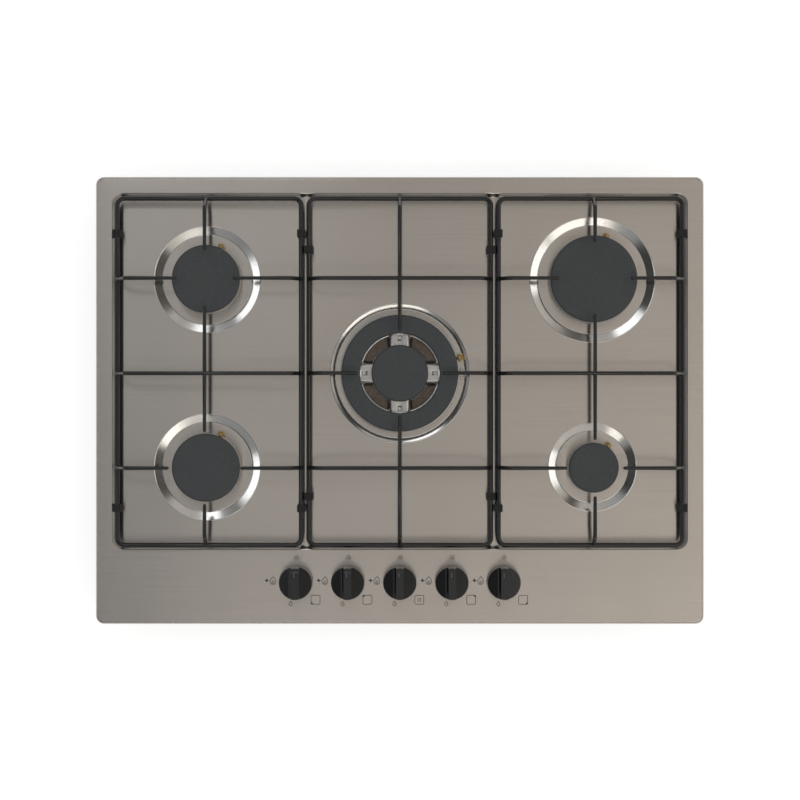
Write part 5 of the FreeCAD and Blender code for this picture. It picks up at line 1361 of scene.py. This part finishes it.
@dataclass
class Marks:
    """The printed marks round each knob, as a thin film of ink on the rim.

    Each mark has its place from the knob's axis and its size.
    """

    line: float = 0.6
    film: float = 0.05
    lift: float = 0.02
    off_ring: Place = (0.6, 27.7, 2.1)
    igniter: Place = (-32.6, 1.8, 3.0)
    large_flame: Place = (-25.8, 1.8, 9.6)
    inner_flame: Place = (-25.8, 0.0, 3.8)
    small_flame: Place = (-6.1, -24.0, 5.6)
    burner: Place = (21.8, -19.8, 5.3)
    burner_corner: float = 2.0
    dot_radius: float = 1.1
    middle_ring: float = 1.9

    def film_of(self, sheet: Piece) -> Piece:
        """Give a flat mark its thickness."""
        modify(sheet, "SOLIDIFY", thickness=self.film * MM, offset=1)
        return finish(sheet)

    def outline(self, sheet: Piece) -> Piece:
        """Print a flat shape's outline alone."""
        with editing(sheet):
            press([(0, RIM), (self.line, RIM)])
            bpy.ops.mesh.delete(type="FACE")
        return self.film_of(sheet)

    def ring(self, centre: Point, radius: float, sides: int = 24) -> Piece:
        """Print a ring."""
        return self.outline(disc("ring", centre, radius, RIM, sides))

    def dot(self, centre: Point, radius: float) -> Piece:
        """Print a filled dot."""
        return finish(turned("dot", centre, [(radius, RIM), (radius, RIM + self.film)], 24))

    def square(self, centre: Point, half: float, corner: Corner) -> list[Piece]:
        """Print a burner mark: a square outline with one thick corner."""
        x, y = centre
        low, high = (x - half, y - half), (x + half, y + half)
        made = [self.outline(rounded_sheet("square", low, high, RIM, self.burner_corner))]
        if corner is Corner.MIDDLE:
            return [*made, self.ring(centre, self.middle_ring)]
        (across, back), inset = corner.value, half - self.dot_radius
        return [*made, self.dot((x + across * inset, y + back * inset), self.dot_radius)]

    def flame(self, centre: Point, height: float) -> Piece:
        """Print a flame: a drop with a leaning point."""
        x, y = centre
        radius = height * 0.36
        base = y - height / 2 + radius
        mark = disc("flame", (x, base), radius, RIM, 32)
        with editing(mark):
            select_vertices(mark, lambda spot: spot.y > base + radius * 0.995)
            bpy.ops.transform.translate(
                value=(radius * 0.15 * MM, (height - 2 * radius) * MM, 0),
                use_proportional_edit=True, proportional_edit_falloff="SHARP",
                proportional_size=radius * 1.5 * MM)
        return self.outline(mark)

    def star(self, centre: Point, radius: float) -> Piece:
        """Print the four-pointed ignition star."""
        x, y = centre
        mark = disc("star", centre, radius, RIM, 8)
        with editing(mark):
            select_vertices(mark, lambda spot: min(abs(spot.x - x), abs(spot.y - y))
                            > radius * 0.3)
            bpy.ops.transform.resize(value=(0.32, 0.32, 1), center_override=(x * MM, y * MM, 0))
        return self.film_of(mark)

    def build(self) -> None:
        """Print the marks of all five knobs as one piece on the casing."""
        made: list[Piece] = []
        for order, corner in enumerate(Corner, 1):
            knob = middle(f"knob_{order}")

            def placed(mark: Place) -> tuple[Point, float]:
                """Give one mark's own centre and size at this knob."""
                return (knob[0] + mark[0], knob[1] + mark[1]), mark[2]

            made.append(self.ring(*placed(self.off_ring), 16))
            made.append(self.star(*placed(self.igniter)))
            made += [self.flame(*placed(flame))
                     for flame in (self.large_flame, self.inner_flame, self.small_flame)]
            made += self.square(*placed(self.burner), corner)
        marks = joined(made)
        marks.name = marks.data.name = "printed_marks"
        with editing(marks):
            bpy.ops.transform.translate(value=(0, 0, self.lift * MM))
        hand_over(marks, CASING, PRINT_INK)


# ---------------------------------------------------------------- studio


@dataclass(frozen=True)
class Softbox:
    """A long studio softbox that hangs level above the cooktop."""

    name: str
    place: Place
    size: Point
    yaw: float
    power: float
    colour: str = "#ffffff"

    def hang(self) -> None:
        """Hang the lamp."""
        lamp = bpy.data.lights.new(self.name, "AREA")
        lamp.shape, (lamp.size, lamp.size_y) = "RECTANGLE", (side * MM for side in self.size)
        lamp.energy, lamp.color = self.power, linear(self.colour)[:3]
        holder = bpy.data.objects.new(self.name, lamp)
        holder.location = Vector(self.place) * MM
        holder.rotation_euler.z = math.radians(self.yaw)
        bpy.context.collection.objects.link(holder)


@dataclass(frozen=True)
class Flag:
    """A dark soft-edged flag high overhead, as slopes from the upright to X and to Y."""

    centre: Point
    half: Point
    cut: float = 0.9
    soft: float = 0.03


@dataclass
class Studio:
    """The pale floor, the soft lamps, the plain surroundings and the camera overhead."""

    floor_colour: str = "#f8f8f8"
    floor_glow: float = 0.62
    left_colour: str = "#9c9ea0"
    right_colour: str = "#cdc9c4"
    horizon: float = 0.9            # how much brighter the surroundings are low down
    camera_height: float = 2103.0
    field: float = 24.0
    aim: Point = (0.2, 0.45)
    lamps: tuple[Softbox, ...] = (
        Softbox("softbox_front", (650.0, -1420.0, 3560.0), (2800.0, 560.0), 15.0, 6.5,
                "#fffaf4"),
        Softbox("softbox_right", (2500.0, -60.0, 3560.0), (1800.0, 600.0), 78.0, 4.4),
        Softbox("softbox_rear", (-640.0, 1880.0, 3560.0), (1100.0, 600.0), 38.0, 3.8,
                "#f6f9ff"),
        Softbox("softbox_left", (-2480.0, 700.0, 3560.0), (2900.0, 700.0), 75.5, 11.0,
                "#f6f9ff"),
    )
    flags: tuple[Flag, ...] = (
        Flag((0.385, 0.11), (0.09, 0.37)), Flag((-0.385, 0.05), (0.09, 0.36)),
        Flag((0.34, 0.63), (0.17, 0.08)),
    )

    def lay_floor(self) -> None:
        """Lay the pale floor, a little lit for the eye alone."""
        deselect()
        bpy.ops.mesh.primitive_plane_add(size=12.0)
        floor = started("floor")
        material = bpy.data.materials.new("studio_floor")
        material.use_nodes = True
        material.node_tree.nodes.clear()
        ray = add_node(material, "ShaderNodeLightPath")
        seen = add_node(material, "ShaderNodeMath",
                        {0: ray.outputs["Is Camera Ray"], 1: ray.outputs["Is Glossy Ray"]},
                        operation="MAXIMUM")
        seen = add_node(material, "ShaderNodeMath",
                        {0: seen.outputs[0], 1: ray.outputs["Is Transmission Ray"]},
                        operation="MAXIMUM")
        glow = add_node(material, "ShaderNodeMath", {0: seen.outputs[0], 1: self.floor_glow},
                        operation="MULTIPLY")
        light = add_node(material, "ShaderNodeEmission", {"Strength": glow.outputs[0]})
        matt = add_node(material, "ShaderNodeBsdfDiffuse", {"Color": linear(self.floor_colour)})
        both = add_node(material, "ShaderNodeAddShader", {0: matt.outputs[0],
                                                          1: light.outputs[0]})
        add_node(material, "ShaderNodeOutputMaterial", {"Surface": both.outputs[0]})
        floor.data.materials.append(material)

    def flagged(self, world: bpy.types.World, parts: bpy.types.NodeOutputs) -> object:
        """Shade the surroundings with the flags and give the strength of their light."""
        def math_node(operation: str, *values: object) -> bpy.types.NodeSocket:
            """Add one calculation."""
            return add_node(world, "ShaderNodeMath", dict(enumerate(values)),
                            operation=operation).outputs[0]

        slopes = [math_node("DIVIDE", parts[axis], parts["Z"]) for axis in "XY"]
        strength = add_node(world, "ShaderNodeMapRange",
                            {"Value": parts["Z"], "From Min": 0.45, "From Max": 0.75,
                             "To Min": self.horizon, "To Max": 1.0},
                            interpolation_type="SMOOTHSTEP").outputs[0]
        for flag in self.flags:
            depth: object = flag.cut
            for slope, centre, half in zip(slopes, flag.centre, flag.half):
                away = math_node("ABSOLUTE", math_node("SUBTRACT", slope, centre))
                within = add_node(world, "ShaderNodeMapRange",
                                  {"Value": away, "From Min": half - flag.soft,
                                   "From Max": half + flag.soft, "To Min": 1.0, "To Max": 0.0},
                                  interpolation_type="SMOOTHSTEP").outputs[0]
                depth = math_node("MULTIPLY", depth, within)
            strength = math_node("MULTIPLY", strength, math_node("SUBTRACT", 1.0, depth))
        return strength

    def set_world(self) -> None:
        """Set the surroundings: paler to the right and low down, with the flags' shade."""
        world = bpy.data.worlds.new("studio")
        world.use_nodes = True
        world.node_tree.nodes.clear()
        towards = add_node(world, "ShaderNodeTexCoord").outputs["Generated"]
        parts = add_node(world, "ShaderNodeSeparateXYZ", {0: towards}).outputs
        across = add_node(world, "ShaderNodeMapRange",
                          {"Value": parts["X"], "From Min": -0.3, "From Max": 0.3},
                          interpolation_type="SMOOTHSTEP")
        tint = add_node(world, "ShaderNodeMix",
                        {0: across.outputs[0], 6: linear(self.left_colour),
                         7: linear(self.right_colour)}, data_type="RGBA")
        light = add_node(world, "ShaderNodeBackground",
                         {"Color": tint.outputs[2], "Strength": self.flagged(world, parts)})
        add_node(world, "ShaderNodeOutputWorld", {"Surface": light.outputs[0]})
        bpy.context.scene.world = world
        bpy.context.scene.view_settings.view_transform = "Standard"

    def set_camera(self) -> None:
        """Hang the camera straight over the cooktop, its top edge to the back."""
        lens = bpy.data.cameras.new("camera")
        lens.sensor_width = 36.0
        lens.lens = lens.sensor_width / 2 / math.tan(math.radians(self.field / 2))
        camera = bpy.data.objects.new("camera", lens)
        camera.location = (self.aim[0] * MM, self.aim[1] * MM, (RIM + self.camera_height) * MM)
        bpy.context.collection.objects.link(camera)
        bpy.context.scene.camera = camera

    def build(self) -> None:
        """Set up the studio."""
        self.lay_floor()
        self.set_world()
        self.set_camera()
        for lamp in self.lamps:
            lamp.hang()


# ---------------------------------------------------------------- assembly


def main() -> None:
    """Build every sub-assembly."""
    logging.basicConfig(level=logging.INFO, format="%(name)s: %(message)s")
    Studio().build()
    for node, node_finish in NODE_FINISHES.items():
        dress(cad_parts[node], node_finish)
        LOG.info("%s is dressed in %s", node, node_finish.name)
    TopPlate().build()
    for burner in BURNERS:
        DiscBurner(burner).build()
    TripleRingBurner(WOK, lip=1.7).build()
    FlameWatch().build()
    side_support(-1).build()
    centre_support().build()
    side_support(1).build()
    Knobs().build()
    Marks().build()
    deselect()


if __name__ == "__main__":
    main()
